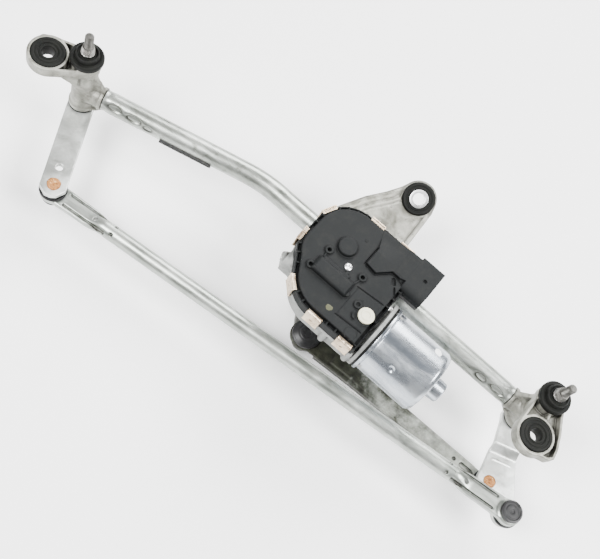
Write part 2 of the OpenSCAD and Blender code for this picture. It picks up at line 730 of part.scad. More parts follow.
// Stepped plate: upper end on the spindle, lower end carries the two ball studs
module right_lever() {
  color([0.75, 0.75, 0.73]) at_right() difference() {
    union() {
      hull() {
        translate([0, 0, -lever_t / 2]) cylinder(r = 12.5, h = lever_t, $fn = 48);
        rotate(lever_angle - 9) translate([28, -13, -lever_t / 2]) cube([2, 26, lever_t]);
      }
      hull() {
        rotate(lever_angle - 9) translate([28, -13, -lever_t / 2]) cube([2, 26, lever_t]);
        rotate(lever_angle - 9) translate([38, -14, low_bottom]) cube([2, 28, lever_t]);
      }
      hull() {
        rotate(lever_angle - 9) translate([38, -14, low_bottom]) cube([2, 28, lever_t]);
        rotate(pin_angle) translate([pin_len, 0, low_bottom]) cylinder(r = 11.5, h = lever_t, $fn = 48);
        rotate(lever_angle) translate([lever_len, 0, low_bottom]) cylinder(r = 11, h = lever_t, $fn = 48);
      }
    }
    translate([0, 0, -10]) cylinder(r = spindle_r, h = 20);
    rotate(pin_angle) translate([pin_len, 0, -20]) cylinder(r = 3.5, h = 30);
    rotate(lever_angle) translate([lever_len, 0, -20]) cylinder(r = 3.5, h = 30);
  }
}

module right_ball() {
  color([0.6, 0.6, 0.6]) translate([right_ball_pos[0], right_ball_pos[1], right_ball_z]) rotate([180, 0, 0])
    ball_stud(right_ball_z - low_bottom);
}

module lever_pin_ball() {
  color([0.55, 0.35, 0.2]) translate([pin_pos[0], pin_pos[1], short_rod_z])
    ball_stud(low_top - short_rod_z);
}

// ---------- rods ----------

// Plastic socket around a ball at the origin, open towards +Z
module socket(flange_r = 10.2) {
  difference() {
    union() {
      translate([0, 0, -8]) cylinder(r = 8.8, h = 13.5);
      translate([0, 0, -8.4]) cylinder(r1 = flange_r - 1, r2 = flange_r, h = 2.4);
    }
    sphere(r = ball_r + ball_gap);
    cylinder(r = 5.1, h = 10);
  }
}

module rod_eye(z) {
  translate([0, 0, z - 3]) cylinder(r = 11.6, h = 6, $fn = 48);
}

module long_rod() {
  slope = atan2(right_ball_z - left_ball_z, spindle_spacing);
  mid_len = spindle_spacing - 110;
  color([0.74, 0.75, 0.74]) translate([left_ball_pos[0], left_ball_pos[1], 0]) difference() {
    union() {
      translate([0, 0, left_ball_z]) rotate([0, 90 - slope, 0]) translate([0, 0, 55])
        cylinder(r = rod_r, h = mid_len);
      rod_end(left_ball_z, 0, 1, slope);
      rod_end(right_ball_z, spindle_spacing, -1, slope);
    }
    translate([0, 0, left_ball_z - 20]) cylinder(r = 8.82, h = 40);
    translate([spindle_spacing, 0, right_ball_z - 20]) cylinder(r = 8.82, h = 40);
    translate([0, 0, left_ball_z]) rotate([0, 90 - slope, 0]) translate([0, 0, 58])
      cylinder(r = rod_r - 1.2, h = mid_len - 6);
    translate([42, 0, left_ball_z - 20]) cylinder(r = 2.4, h = 40);
    translate([spindle_spacing - 42, 0, right_ball_z - 20]) cylinder(r = 2.4, h = 40);
  }
}

// Pressed flat end of the long rod, from the eye back to the round tube
module rod_end(z, x, dir, slope) {
  back_z = z + dir * 55 * sin(slope);
  translate([x, 0, 0]) {
    rod_eye(z);
    hull() {
      translate([dir * 4, -9.5, z - 3]) cube([1, 19, 6]);
      translate([dir * 30, -9.5, z + dir * 30 * sin(slope) - 3.2]) cube([1, 19, 6.4]);
    }
    hull() {
      translate([dir * 30, -9.5, z + dir * 30 * sin(slope) - 3.2]) cube([1, 19, 6.4]);
      translate([dir * 54, 0, back_z]) rotate([0, 90, 0]) cylinder(r = rod_r - 0.6, h = 3, center = true, $fn = 48);
    }
  }
}

module long_rod_left_socket() {
  color([0.08, 0.08, 0.08]) translate([left_ball_pos[0], left_ball_pos[1], left_ball_z]) socket();
}

module long_rod_right_socket() {
  color([0.08, 0.08, 0.08]) translate([right_ball_pos[0], right_ball_pos[1], right_ball_z])
    rotate([180, 0, 0]) socket();
}

// Pressed channel: flat top with two side walls turned down
module short_rod() {
  span = pin_pos - crank_socket_pos;
  len = norm(span);
  color([0.3, 0.3, 0.3]) translate([crank_socket_pos[0], crank_socket_pos[1], short_rod_z])
  rotate(atan2(span[1], span[0])) difference() {
    union() {
      translate([0, 0, -1]) cylinder(r = 15, h = 4, $fn = 64);
      translate([len, 0, -3]) cylinder(r = 11.2, h = 6);
      linear_extrude(3) polygon([[0, -12], [60, -9.5], [len, -7.5], [len, 7.5], [60, 9.5], [0, 12]]);
      for (side = [-1, 1]) translate([0, 0, -5]) linear_extrude(8)
        polygon([[16, side * 11.4], [60, side * 9.5], [len - 14, side * 7.9],
                 [len - 14, side * 5.9], [60, side * 7.5], [16, side * 9.4]]);
    }
    translate([0, 0, -10]) cylinder(r = 11.42, h = 20);
    translate([len, 0, -10]) cylinder(r = 8.82, h = 20);
    translate([len - 26, 0, -10]) cylinder(r = 2.4, h = 20);
  }
}

// Deep socket with room all round the crank ball
module short_rod_crank_socket() {
  color([0.06, 0.06, 0.06]) translate([crank_socket_pos[0], crank_socket_pos[1], short_rod_z]) difference() {
    union() {
      translate([0, 0, -8.5]) cylinder(r = 11.4, h = 17);
      translate([0, 0, 3.02]) cylinder(r = 14, h = 3);
      translate([0, 0, 6]) cylinder(r1 = 12.4, r2 = 9, h = 3);
    }
    translate([0, 0, -9]) cylinder(r = ball_r + open_gap, h = 16.2);
  }
}

module short_rod_lever_socket() {
  color([0.08, 0.08, 0.08]) translate([pin_pos[0], pin_pos[1], short_rod_z]) socket(10);
}

placed() frame_tube();
placed() tube_strip();
placed() left_housing();
placed() right_housing();
placed() left_bushes();
placed() right_bushes();
placed() left_seal();
placed() right_seal();
placed() left_cap();
placed() right_cap();
placed() left_grommet();
placed() right_grommet();
placed() centre_grommet();
placed() centre_sleeve();
placed() motor_bracket();
placed() bracket_screws();
placed() gear_housing();
placed() cover_gasket();
placed() gear_cover();
placed() cover_clips();
placed() breather_plug();
placed() cover_rivet();
placed() circuit_board();
placed() connector_pins();
placed() output_bush();
placed() thrust_screw();
placed() motor_can();
placed() can_seal();
placed() can_screws();
placed() magnets();
placed() brush_holder();
placed() brushes();
placed() front_bearing();
placed() rear_bearing();
placed() armature_shaft();
placed() armature_core();
placed() windings();
placed() commutator();
placed() worm();
placed() worm_wheel();
placed() output_shaft();
placed() crank_arm();
placed() crank_nut();
placed() crank_ball();
placed() left_spindle();
placed() left_clip();
placed() left_lever();
placed() left_ball();
placed() right_spindle();
placed() right_clip();
placed() right_lever();
placed() right_ball();
placed() lever_pin_ball();
placed() long_rod();
placed() long_rod_left_socket();
placed() long_rod_right_socket();
placed() short_rod();
placed() short_rod_crank_socket();
placed() short_rod_lever_socket();
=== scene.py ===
"""Windshield wiper linkage with its motor: the visible pieces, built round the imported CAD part.

Lengths are in millimetres, from the left spindle's axis at the lever plane, until place() puts them in
the row frame.
"""
import json
import math

import bmesh
import bpy
import numpy as np
from mathutils import Matrix, Vector


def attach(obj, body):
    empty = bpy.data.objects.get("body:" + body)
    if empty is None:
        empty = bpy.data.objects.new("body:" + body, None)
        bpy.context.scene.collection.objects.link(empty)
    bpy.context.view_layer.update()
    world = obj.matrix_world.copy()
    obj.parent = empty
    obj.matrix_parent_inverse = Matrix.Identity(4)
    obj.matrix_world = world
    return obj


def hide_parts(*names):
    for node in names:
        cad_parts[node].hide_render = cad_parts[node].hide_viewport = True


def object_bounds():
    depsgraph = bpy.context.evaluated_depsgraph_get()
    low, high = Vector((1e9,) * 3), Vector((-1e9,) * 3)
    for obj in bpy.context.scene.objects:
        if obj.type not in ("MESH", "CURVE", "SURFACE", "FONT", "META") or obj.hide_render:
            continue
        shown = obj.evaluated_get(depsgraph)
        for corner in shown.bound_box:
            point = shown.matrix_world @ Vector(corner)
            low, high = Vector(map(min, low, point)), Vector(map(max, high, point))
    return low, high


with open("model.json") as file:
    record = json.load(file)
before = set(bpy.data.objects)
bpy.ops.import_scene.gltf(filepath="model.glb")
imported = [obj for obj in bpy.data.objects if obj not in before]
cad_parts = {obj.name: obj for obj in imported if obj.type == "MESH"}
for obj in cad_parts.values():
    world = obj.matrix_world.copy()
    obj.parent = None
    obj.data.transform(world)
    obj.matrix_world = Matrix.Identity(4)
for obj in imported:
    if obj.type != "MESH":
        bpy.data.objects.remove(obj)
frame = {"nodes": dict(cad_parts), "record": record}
size_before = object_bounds()
record = frame["record"]
mounts = {m["name"]: m for m in record["mounts"]}
joints = {j["name"]: j for j in record["behaviour"]["joints"]}

# ---------------------------------------------------------------- places
TIP_HEIGHT = 98.0                         # the tip mounts' height over the lever plane
HOME = np.array(mounts["left_tip"]["pos_m"]) - np.array([0, 0, TIP_HEIGHT / 1000])


def local(pos_m):
    return (np.array(pos_m) - HOME) * 1000


def cos_sin(deg):
    return math.cos(math.radians(deg)), math.sin(math.radians(deg))


def heading(p):
    """The angle of a flat vector, in degrees."""
    return math.degrees(math.atan2(p[1], p[0]))


def turn(axis, deg):
    m = np.eye(4)
    a, b = {"x": (1, 2), "y": (2, 0), "z": (0, 1)}[axis]
    c, s = cos_sin(deg)
    m[a, a], m[a, b], m[b, a], m[b, b] = c, -s, s, c
    return m


def move(x, y, z=0):
    m = np.eye(4)
    m[:3, 3] = (x, y, z)
    return m


RIGHT = local(mounts["right_tip"]["pos_m"])[0]
LEFT_EAR = local(mounts["left_mount"]["pos_m"])
RIGHT_EAR = local(mounts["right_mount"]["pos_m"])
CENTRE = local(mounts["centre_mount"]["pos_m"])
SHAFT = local(joints["crank_turn"]["pos_m"])
RIGHT_BALL = local(joints["long_rod_pivot"]["pos_m"])
LEFT_BALL = np.array([RIGHT_BALL[0] - RIGHT, RIGHT_BALL[1], -12.0])
PIN = local(joints["short_rod_pivot"]["pos_m"])
HEADING = heading(joints["armature_turn"]["axis"])
TILT = math.degrees(math.atan2(-mounts["centre_mount"]["axis"][1], mounts["centre_mount"]["axis"][2]))
LEFT_REACH = math.hypot(LEFT_EAR[0], LEFT_EAR[1])
RIGHT_REACH = math.hypot(RIGHT_EAR[0] - RIGHT, RIGHT_EAR[1])
LEFT_EAR_ANGLE = heading(LEFT_EAR)
RIGHT_EAR_ANGLE = heading((RIGHT_EAR[0] - RIGHT, RIGHT_EAR[1]))
LEVER_LEN = math.hypot(LEFT_BALL[0], LEFT_BALL[1])
LEVER_ANGLE = heading(LEFT_BALL)
PIN_LEN = math.hypot(PIN[0] - RIGHT, PIN[1])
PIN_ANGLE = heading((PIN[0] - RIGHT, PIN[1]))
CRANK_ANGLE = -68.5
CRANK_LEN = 54.0
CRANK_COS, CRANK_SIN = cos_sin(CRANK_ANGLE)
CRANK_BALL = np.array([SHAFT[0] + CRANK_LEN * CRANK_COS, SHAFT[1] + CRANK_LEN * CRANK_SIN, -18.0])
CRANK_SOCKET = CRANK_BALL + np.array([-0.4, -0.5, 0])
BEND = np.array([181.0, 32.5])
BEND_R = 130.0
TUBE_Z, TUBE_R, TUBE_BORE_R = 26.0, 10.0, 8.4
TUBE_START = 22.0                         # from each spindle's axis to the tube's end
TUBE_STEP, TUBE_SIDES = 1.2, 72           # the mesh along and round the tube
LEFT_TUBE_ANGLE = heading(BEND)
RIGHT_TUBE_ANGLE = -heading((RIGHT - BEND[0], BEND[1]))

AT_RIGHT = move(RIGHT, 0)
MOTOR = move(SHAFT[0], SHAFT[1]) @ turn("z", HEADING)
ARMATURE_Y, ARMATURE_Z = -34, 46          # the armature's axis, across and above the output shaft's foot
ARMATURE = MOTOR @ move(0, ARMATURE_Y, ARMATURE_Z) @ turn("y", 90)
AT_CENTRE = move(*CENTRE) @ turn("x", TILT)
TUBE_SIDE = 21.2                          # the tube's axis, across the motor frame
SPINDLE_HOLE, LEVER_HOLE, EYE_HOLE = 7.05, 5.02, 8.84
MOUNT_SEAT = 15.6                         # radius of the two seats that hold a rubber mount
PLUG, RIVET = (52, -39.5), (13.2, -14.2)  # on the gear cover, in the motor frame
CAN_R = 31.0

# ---------------------------------------------------------------- shapes as signed distances
def union(*parts, k=0.0):
    out = parts[0]
    for p in parts[1:]:
        if k > 0:
            h = np.maximum(k - np.abs(out - p), 0) / k
            out = np.minimum(out, p) - h * h * k * 0.25
        else:
            out = np.minimum(out, p)
    return out


def cut(a, *parts, k=0.0):
    for b in parts:
        if k > 0:
            h = np.maximum(k - np.abs(a + b), 0) / k
            a = np.maximum(a, -b) + h * h * k * 0.25
        else:
            a = np.maximum(a, -b)
    return a


def turned(x, y, deg):
    c, s = cos_sin(deg)
    return x * c + y * s, -x * s + y * c


def circle(x, y, cx, cy, r):
    return np.hypot(x - cx, y - cy) - r


def rect(x, y, x0, x1, y0, y1):
    dx = np.abs(x - (x0 + x1) / 2) - (x1 - x0) / 2
    dy = np.abs(y - (y0 + y1) / 2) - (y1 - y0) / 2
    return np.minimum(np.maximum(dx, dy), 0) + np.hypot(np.maximum(dx, 0), np.maximum(dy, 0))


def bar(x, y, ax, ay, bx, by, r):
    """A line from a to b with round ends, r either side."""
    ex, ey = bx - ax, by - ay
    t = np.clip(((x - ax) * ex + (y - ay) * ey) / (ex * ex + ey * ey), 0, 1)
    return np.hypot(x - ax - ex * t, y - ay - ey * t) - r


def polygon(x, y, pts):
    shape = np.broadcast(x, y).shape
    d, sign = np.full(shape, 1e9), np.ones(shape)
    for (ax, ay), (bx, by) in zip(pts, [pts[-1]] + list(pts[:-1])):
        ex, ey = bx - ax, by - ay
        wx, wy = x - ax, y - ay
        t = np.clip((wx * ex + wy * ey) / (ex * ex + ey * ey), 0, 1)
        d = np.minimum(d, (wx - ex * t) ** 2 + (wy - ey * t) ** 2)
        above, below, side = y >= ay, y < by, ex * wy > ey * wx
        sign = np.where((above & below & side) | (~above & ~below & ~side), -sign, sign)
    return sign * np.sqrt(d)


def slab(flat, z, z0, z1, r=0.5):
    """A flat shape with thickness, edges rounded by r."""
    a = flat + r
    b = np.abs(z - (z0 + z1) / 2) - (z1 - z0) / 2 + r
    return np.minimum(np.maximum(a, b), 0) + np.hypot(np.maximum(a, 0), np.maximum(b, 0)) - r


def disc(x, y, z, cx, cy, r, z0, z1, edge):
    return slab(circle(x, y, cx, cy, r), z, z0, z1, edge)


def beam(x, y, z, ax, ay, bx, by, r, z0, z1, edge):
    return slab(bar(x, y, ax, ay, bx, by, r), z, z0, z1, edge)


def brick(x, y, z, x0, x1, y0, y1, z0, z1, edge):
    return slab(rect(x, y, x0, x1, y0, y1), z, z0, z1, edge)


def arc(cx, cy, r, a0, a1, n=12):
    turns = [cos_sin(a0 + (a1 - a0) * i / n) for i in range(n + 1)]
    return [(cx + r * c, cy + r * s) for c, s in turns]


def belt(r1, d, r2):
    """Outline round a circle at the origin and one at distance d along X."""
    a = math.degrees(math.acos((r1 - r2) / d))
    return arc(d, 0, r2, -a, a, 20) + arc(0, 0, r1, a, 360 - a, 20)


def surface(shape, lo, hi, step):
    """Points and quads on the zero level of shape(x, y, z), and how enclosed each point is, which the
    materials paint as shade.
    """
    step = np.array([step] * 3 if np.isscalar(step) else step, float)
    n = [int(math.ceil((h - l) / s)) + 1 for l, h, s in zip(lo, hi, step)]
    ax = [l + s * np.arange(k) for l, k, s in zip(lo, n, step)]
    v = shape(ax[0][:, None, None], ax[1][None, :, None], ax[2][None, None, :])
    v = np.ascontiguousarray(np.broadcast_to(v, n)).astype(np.float32)
    for a in range(3):                     # closed at the box's walls
        for end in (0, -1):
            wall = [slice(None)] * 3
            wall[a] = end
            v[tuple(wall)] = np.maximum(v[tuple(wall)], 0.01)
    inside = v < 0

    def corner(a, i, j, k):
        return a[i:n[0] - 1 + i, j:n[1] - 1 + j, k:n[2] - 1 + k]

    count = sum(corner(inside, i, j, k).astype(np.int8) for i in (0, 1) for j in (0, 1) for k in (0, 1))
    active = (count > 0) & (count < 8)
    index = np.full(active.shape, -1, np.int64)
    index[active] = np.arange(active.sum())
    cell = np.argwhere(active)
    pos, hits = np.zeros((len(cell), 3)), np.zeros(len(cell))
    for axis in range(3):
        others = [a for a in range(3) if a != axis]
        for p in (0, 1):
            for q in (0, 1):
                off = np.zeros(3, int)
                off[others[0]], off[others[1]] = p, q
                far = off.copy()
                far[axis] = 1
                va = v[tuple((cell + off).T)]
                vb = v[tuple((cell + far).T)]
                hit = (va < 0) != (vb < 0)
                t = np.where(hit, va / np.where(hit, va - vb, 1), 0)
                point = np.tile(off.astype(float), (len(cell), 1))
                point[:, axis] = t
                pos[hit] += point[hit]
                hits[hit] += 1
    pos = (cell + pos / hits[:, None]) * step + np.array(lo)
    quads = []
    for axis in range(3):
        b, c = [(1, 2), (2, 0), (0, 1)][axis]
        lo_v = inside[tuple(slice(0, -1) if a == axis else slice(1, -1) for a in range(3))]
        hi_v = inside[tuple(slice(1, None) if a == axis else slice(1, -1) for a in range(3))]
        at = np.argwhere(lo_v != hi_v)
        leaving = lo_v[tuple(at.T)]
        base = at.copy()
        base[:, b] += 1
        base[:, c] += 1

        def cell_at(db, dc):
            k = base.copy()
            k[:, b] -= db
            k[:, c] -= dc
            return index[tuple(k.T)]

        quad = np.stack([cell_at(1, 1), cell_at(0, 1), cell_at(0, 0), cell_at(1, 0)], 1)
        quads.append(np.where(leaving[:, None], quad, quad[:, ::-1]))
    quads = np.concatenate(quads)

    def value(p):
        return np.asarray(shape(p[:, 0], p[:, 1], p[:, 2]), float)

    def slope(p, h=0.05):
        g = np.stack([value(p + np.eye(3)[a] * h) - value(p - np.eye(3)[a] * h) for a in range(3)], 1)
        return g / np.maximum(np.linalg.norm(g, axis=1, keepdims=True), 1e-9)

    for _ in range(2):
        g = slope(pos)
        pos = pos - g * np.clip(value(pos), -step.min() * 0.4, step.min() * 0.4)[:, None]
    g = slope(pos)
    # how enclosed each point is; the materials paint enclosed points darker, as painted shade
    reach = 3.0
    enclosed = np.clip(1 - value(pos + g * reach) / reach, 0, 1)
    return pos, quads, enclosed


# ---------------------------------------------------------------- meshes
def place(points, where):
    p = np.c_[np.asarray(points, float), np.ones(len(points))] @ where.T
    return p[:, :3] / 1000 + HOME


def give(ob, name, values):
    """A value for each point, which materials read by its name."""
    layer = ob.data.attributes.new(name, "FLOAT", "POINT")
    layer.data.foreach_set("value", np.asarray(values, np.float32))


def piece(name, points, faces, where, mat, body, nodes=(), crease=0.6, values=None):
    me = bpy.data.meshes.new(name)
    me.from_pydata(place(points, where).tolist(), [], [list(map(int, f)) for f in faces])
    me.validate()
    bm = bmesh.new()
    bm.from_mesh(me)
    if values is None:
        bmesh.ops.recalc_face_normals(bm, faces=bm.faces)
    bm.to_mesh(me)
    bm.free()
    me.polygons.foreach_set("use_smooth", [True] * len(me.polygons))
    if crease:
        me.set_sharp_from_angle(angle=crease)
    me.materials.append(mat)
    ob = bpy.data.objects.new(name, me)
    if values is not None:
        give(ob, "enclosed", values)
    bpy.context.scene.collection.objects.link(ob)
    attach(ob, body)
    if nodes:
        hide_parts(*nodes)
    return ob


def carve(name, shape, lo, hi, step, where, mat, body, nodes=()):
    points, quads, enclosed = surface(shape, lo, hi, step)
    return piece(name, points, quads, where, mat, body, nodes, crease=None, values=enclosed)


def eased(profile, r=0.5, steps=3):
    """The closed profile with each corner rounded by r, or by a point's own third value."""
    out, n = [], len(profile)
    for i in range(n):
        p = np.array(profile[i][:2], float)
        radius = profile[i][2] if len(profile[i]) > 2 else r
        a = np.array(profile[i - 1][:2], float) - p
        b = np.array(profile[(i + 1) % n][:2], float) - p
        la, lb = np.linalg.norm(a), np.linalg.norm(b)
        if radius <= 0 or la < 1e-6 or lb < 1e-6 or p[0] < 1e-6:
            out.append(tuple(p))
            continue
        a, b = a / la, b / lb
        half = math.acos(max(-1, min(1, float(a @ b)))) / 2
        back = min(radius / max(math.tan(half), 1e-3), la * 0.45, lb * 0.45)
        p0, p1 = p + a * back, p + b * back
        for k in range(steps + 1):
            t = k / steps
            out.append(tuple((1 - t) ** 2 * p0 + 2 * t * (1 - t) * p + t * t * p1))
    return out


def lathe(profile, n=96, warp=None):
    """A closed (radius, height) profile turned about Z. warp(r, z, angle) may move a point."""
    points, rings, faces = [], [], []
    for r, z in profile:
        if r < 1e-6:
            rings.append([len(points)] * n)
            points.append((0, 0, z))
        else:
            rings.append(list(range(len(points), len(points) + n)))
            for i in range(n):
                a = 2 * math.pi * i / n
                rr, zz = warp(r, z, a) if warp else (r, z)
                points.append((rr * math.cos(a), rr * math.sin(a), zz))
    for i in range(len(rings)):
        lower, upper = rings[i - 1], rings[i]
        if lower[0] == lower[-1] and upper[0] == upper[-1]:
            continue
        for j in range(n):
            k = (j + 1) % n
            face = [lower[j], lower[k], upper[k], upper[j]]
            face = [f for m, f in enumerate(face) if f not in face[:m]]
            faces.append(face)
    return points, faces


def turned_piece(name, profile, where, mat, body, nodes=(), r=0.5, n=96, warp=None, crease=0.9):
    points, faces = lathe(eased(profile, r), n, warp)
    return piece(name, points, faces, where, mat, body, nodes, crease)


def merged(parts):
    """Several (points, faces, placement) as one mesh's points and faces."""
    points, faces, base = [], [], 0
    for p, f, where in parts:
        p = np.c_[np.asarray(p, float), np.ones(len(p))] @ where.T
        points.append(p[:, :3])
        faces += [[i + base for i in face] for face in f]
        base += len(p)
    return np.concatenate(points), faces


# ---------------------------------------------------------------- materials
class Graph:
    def __init__(self, name):
        self.mat = bpy.data.materials.new(name)
        self.mat.use_nodes = True
        self.tree = self.mat.node_tree
        self.bsdf = self.tree.nodes["Principled BSDF"]
        self.coord = self.tree.nodes.new("ShaderNodeTexCoord").outputs["Object"]

    def link(self, a, b):
        self.tree.links.new(a, b)

    def node(self, kind, inputs=None, **settings):
        n = self.tree.nodes.new(kind)
        for k, v in settings.items():
            setattr(n, k, v)
        for k, v in (inputs or {}).items():
            n.inputs[k].default_value = v
        return n

    def feed(self, socket, value):
        """Set the socket to a number or a colour, or link it to another socket."""
        if isinstance(value, float):
            socket.default_value = value
        elif isinstance(value, tuple):
            socket.default_value = (*value, 1)
        else:
            self.link(value, socket)

    def noise(self, scale, detail=4, rough=0.55, stretch=None, distort=0.0):
        """stretch is a scale along x, y and z, then a turn about z in degrees."""
        n = self.node("ShaderNodeTexNoise", {"Scale": scale, "Detail": detail, "Roughness": rough,
                "Distortion": distort})
        source = self.coord
        if stretch:
            turned_by = (0, 0, math.radians(stretch[3]))
            m = self.node("ShaderNodeMapping", {"Rotation": turned_by, "Scale": stretch[:3]})
            self.link(source, m.inputs["Vector"])
            source = m.outputs["Vector"]
        self.link(source, n.inputs["Vector"])
        return n.outputs["Fac"]

    def ramp(self, value, stops):
        n = self.node("ShaderNodeValToRGB")
        self.link(value, n.inputs["Fac"])
        while len(n.color_ramp.elements) < len(stops):
            n.color_ramp.elements.new(0.5)
        for e, (pos, col) in zip(n.color_ramp.elements, stops):
            e.position = pos
            e.color = (*col, 1)
        return n.outputs["Color"]

    def spread(self, value, lo, hi, to_lo, to_hi):
        n = self.node("ShaderNodeMapRange", {"From Min": lo, "From Max": hi, "To Min": to_lo,
                "To Max": to_hi})
        self.link(value, n.inputs["Value"])
        return n.outputs["Result"]

    def mix(self, fac, a, b):
        n = self.node("ShaderNodeMix", data_type="RGBA")
        for place_in_node, value in ((0, fac), (6, a), (7, b)):
            self.feed(n.inputs[place_in_node], value)
        return n.outputs[2]

    def maths(self, operation, a, b):
        n = self.node("ShaderNodeMath", operation=operation)
        self.feed(n.inputs[0], a)
        self.feed(n.inputs[1], b)
        return n.outputs[0]

    def product(self, a, b):
        return self.maths("MULTIPLY", a, b)

    def attribute(self, name):
        return self.node("ShaderNodeAttribute", attribute_name=name).outputs["Fac"]

    def bump(self, value, strength, distance=0.0004):
        n = self.node("ShaderNodeBump", {"Strength": strength, "Distance": distance})
        self.link(value, n.inputs["Height"])
        self.link(n.outputs["Normal"], self.bsdf.inputs["Normal"])

    def finish(self, colour, metallic, rough, gloss=0.5):
        self.link(colour, self.bsdf.inputs["Base Color"])
        self.bsdf.inputs["Specular IOR Level"].default_value = gloss
        self.bsdf.inputs["Metallic"].default_value = metallic
        self.feed(self.bsdf.inputs["Roughness"], rough)
        return self.mat


def worn_metal(name, light, dark, grime, metallic=0.8, rough=(0.3, 0.55), blotch=45, fine=420, bump=0.25,
               grime_amount=0.5, enclosed_shade=0.8, stretch=None, shade_colour=(0.022, 0.021, 0.016)):
    """Bare or plated metal: soft blotches, fine mottling, grime, and painted shade where it is enclosed."""
    g = Graph(name)
    big = g.noise(blotch, 5, 0.6, stretch, 0.4)
    small = g.noise(fine, 6, 0.65)
    base = g.mix(g.spread(big, 0.35, 0.65, 0.0, 1.0), dark, light)
    base = g.mix(g.spread(small, 0.55, 0.75, 0.0, 0.45), base, dark)
    spots = g.product(g.spread(g.noise(blotch * 3.1, 8, 0.7), 0.56, 0.7, 0.0, 1.0), grime_amount)
    base = g.mix(spots, base, grime)
    # painted shade: the more enclosed a point, the darker it is painted
    hollow = g.spread(g.attribute("enclosed"), 0.12, 0.7, 0.0, enclosed_shade)
    base = g.mix(g.product(hollow, g.spread(g.noise(180, 4), 0.3, 0.6, 0.6, 1.0)), base, shade_colour)
    g.bump(small, bump)
    return g.finish(base, metallic, g.spread(big, 0.3, 0.7, *rough))


def moulded(name, base, light, rough=(0.45, 0.65), scale=70, grain=1500, bump=0.2, gloss=0.22, dust=0.35,
            dust_colour=(0.16, 0.155, 0.14)):
    """Plastic or rubber: fine grain, a soft shift of colour, dust, and painted shade that darkens the
    hollows.
    """
    g = Graph(name)
    big = g.noise(scale, 5, 0.6)
    grainy = g.noise(grain, 3, 0.6)
    col = g.mix(g.spread(big, 0.3, 0.7, 0.0, 1.0), base, light)
    dusty = g.product(g.spread(g.noise(scale * 2.7, 8, 0.7), 0.5, 0.75, 0.0, 1.0), dust)
    col = g.mix(dusty, col, dust_colour)
    # painted shade: enclosed points are painted darker, down to a quarter of the base colour
    hollow = g.spread(g.attribute("enclosed"), 0.2, 0.8, 0.0, 0.7)
    col = g.mix(hollow, col, tuple(0.25 * c for c in base))
    g.bump(grainy, bump, 0.0002)
    return g.finish(col, 0.0, g.spread(big, 0.3, 0.7, *rough), gloss)


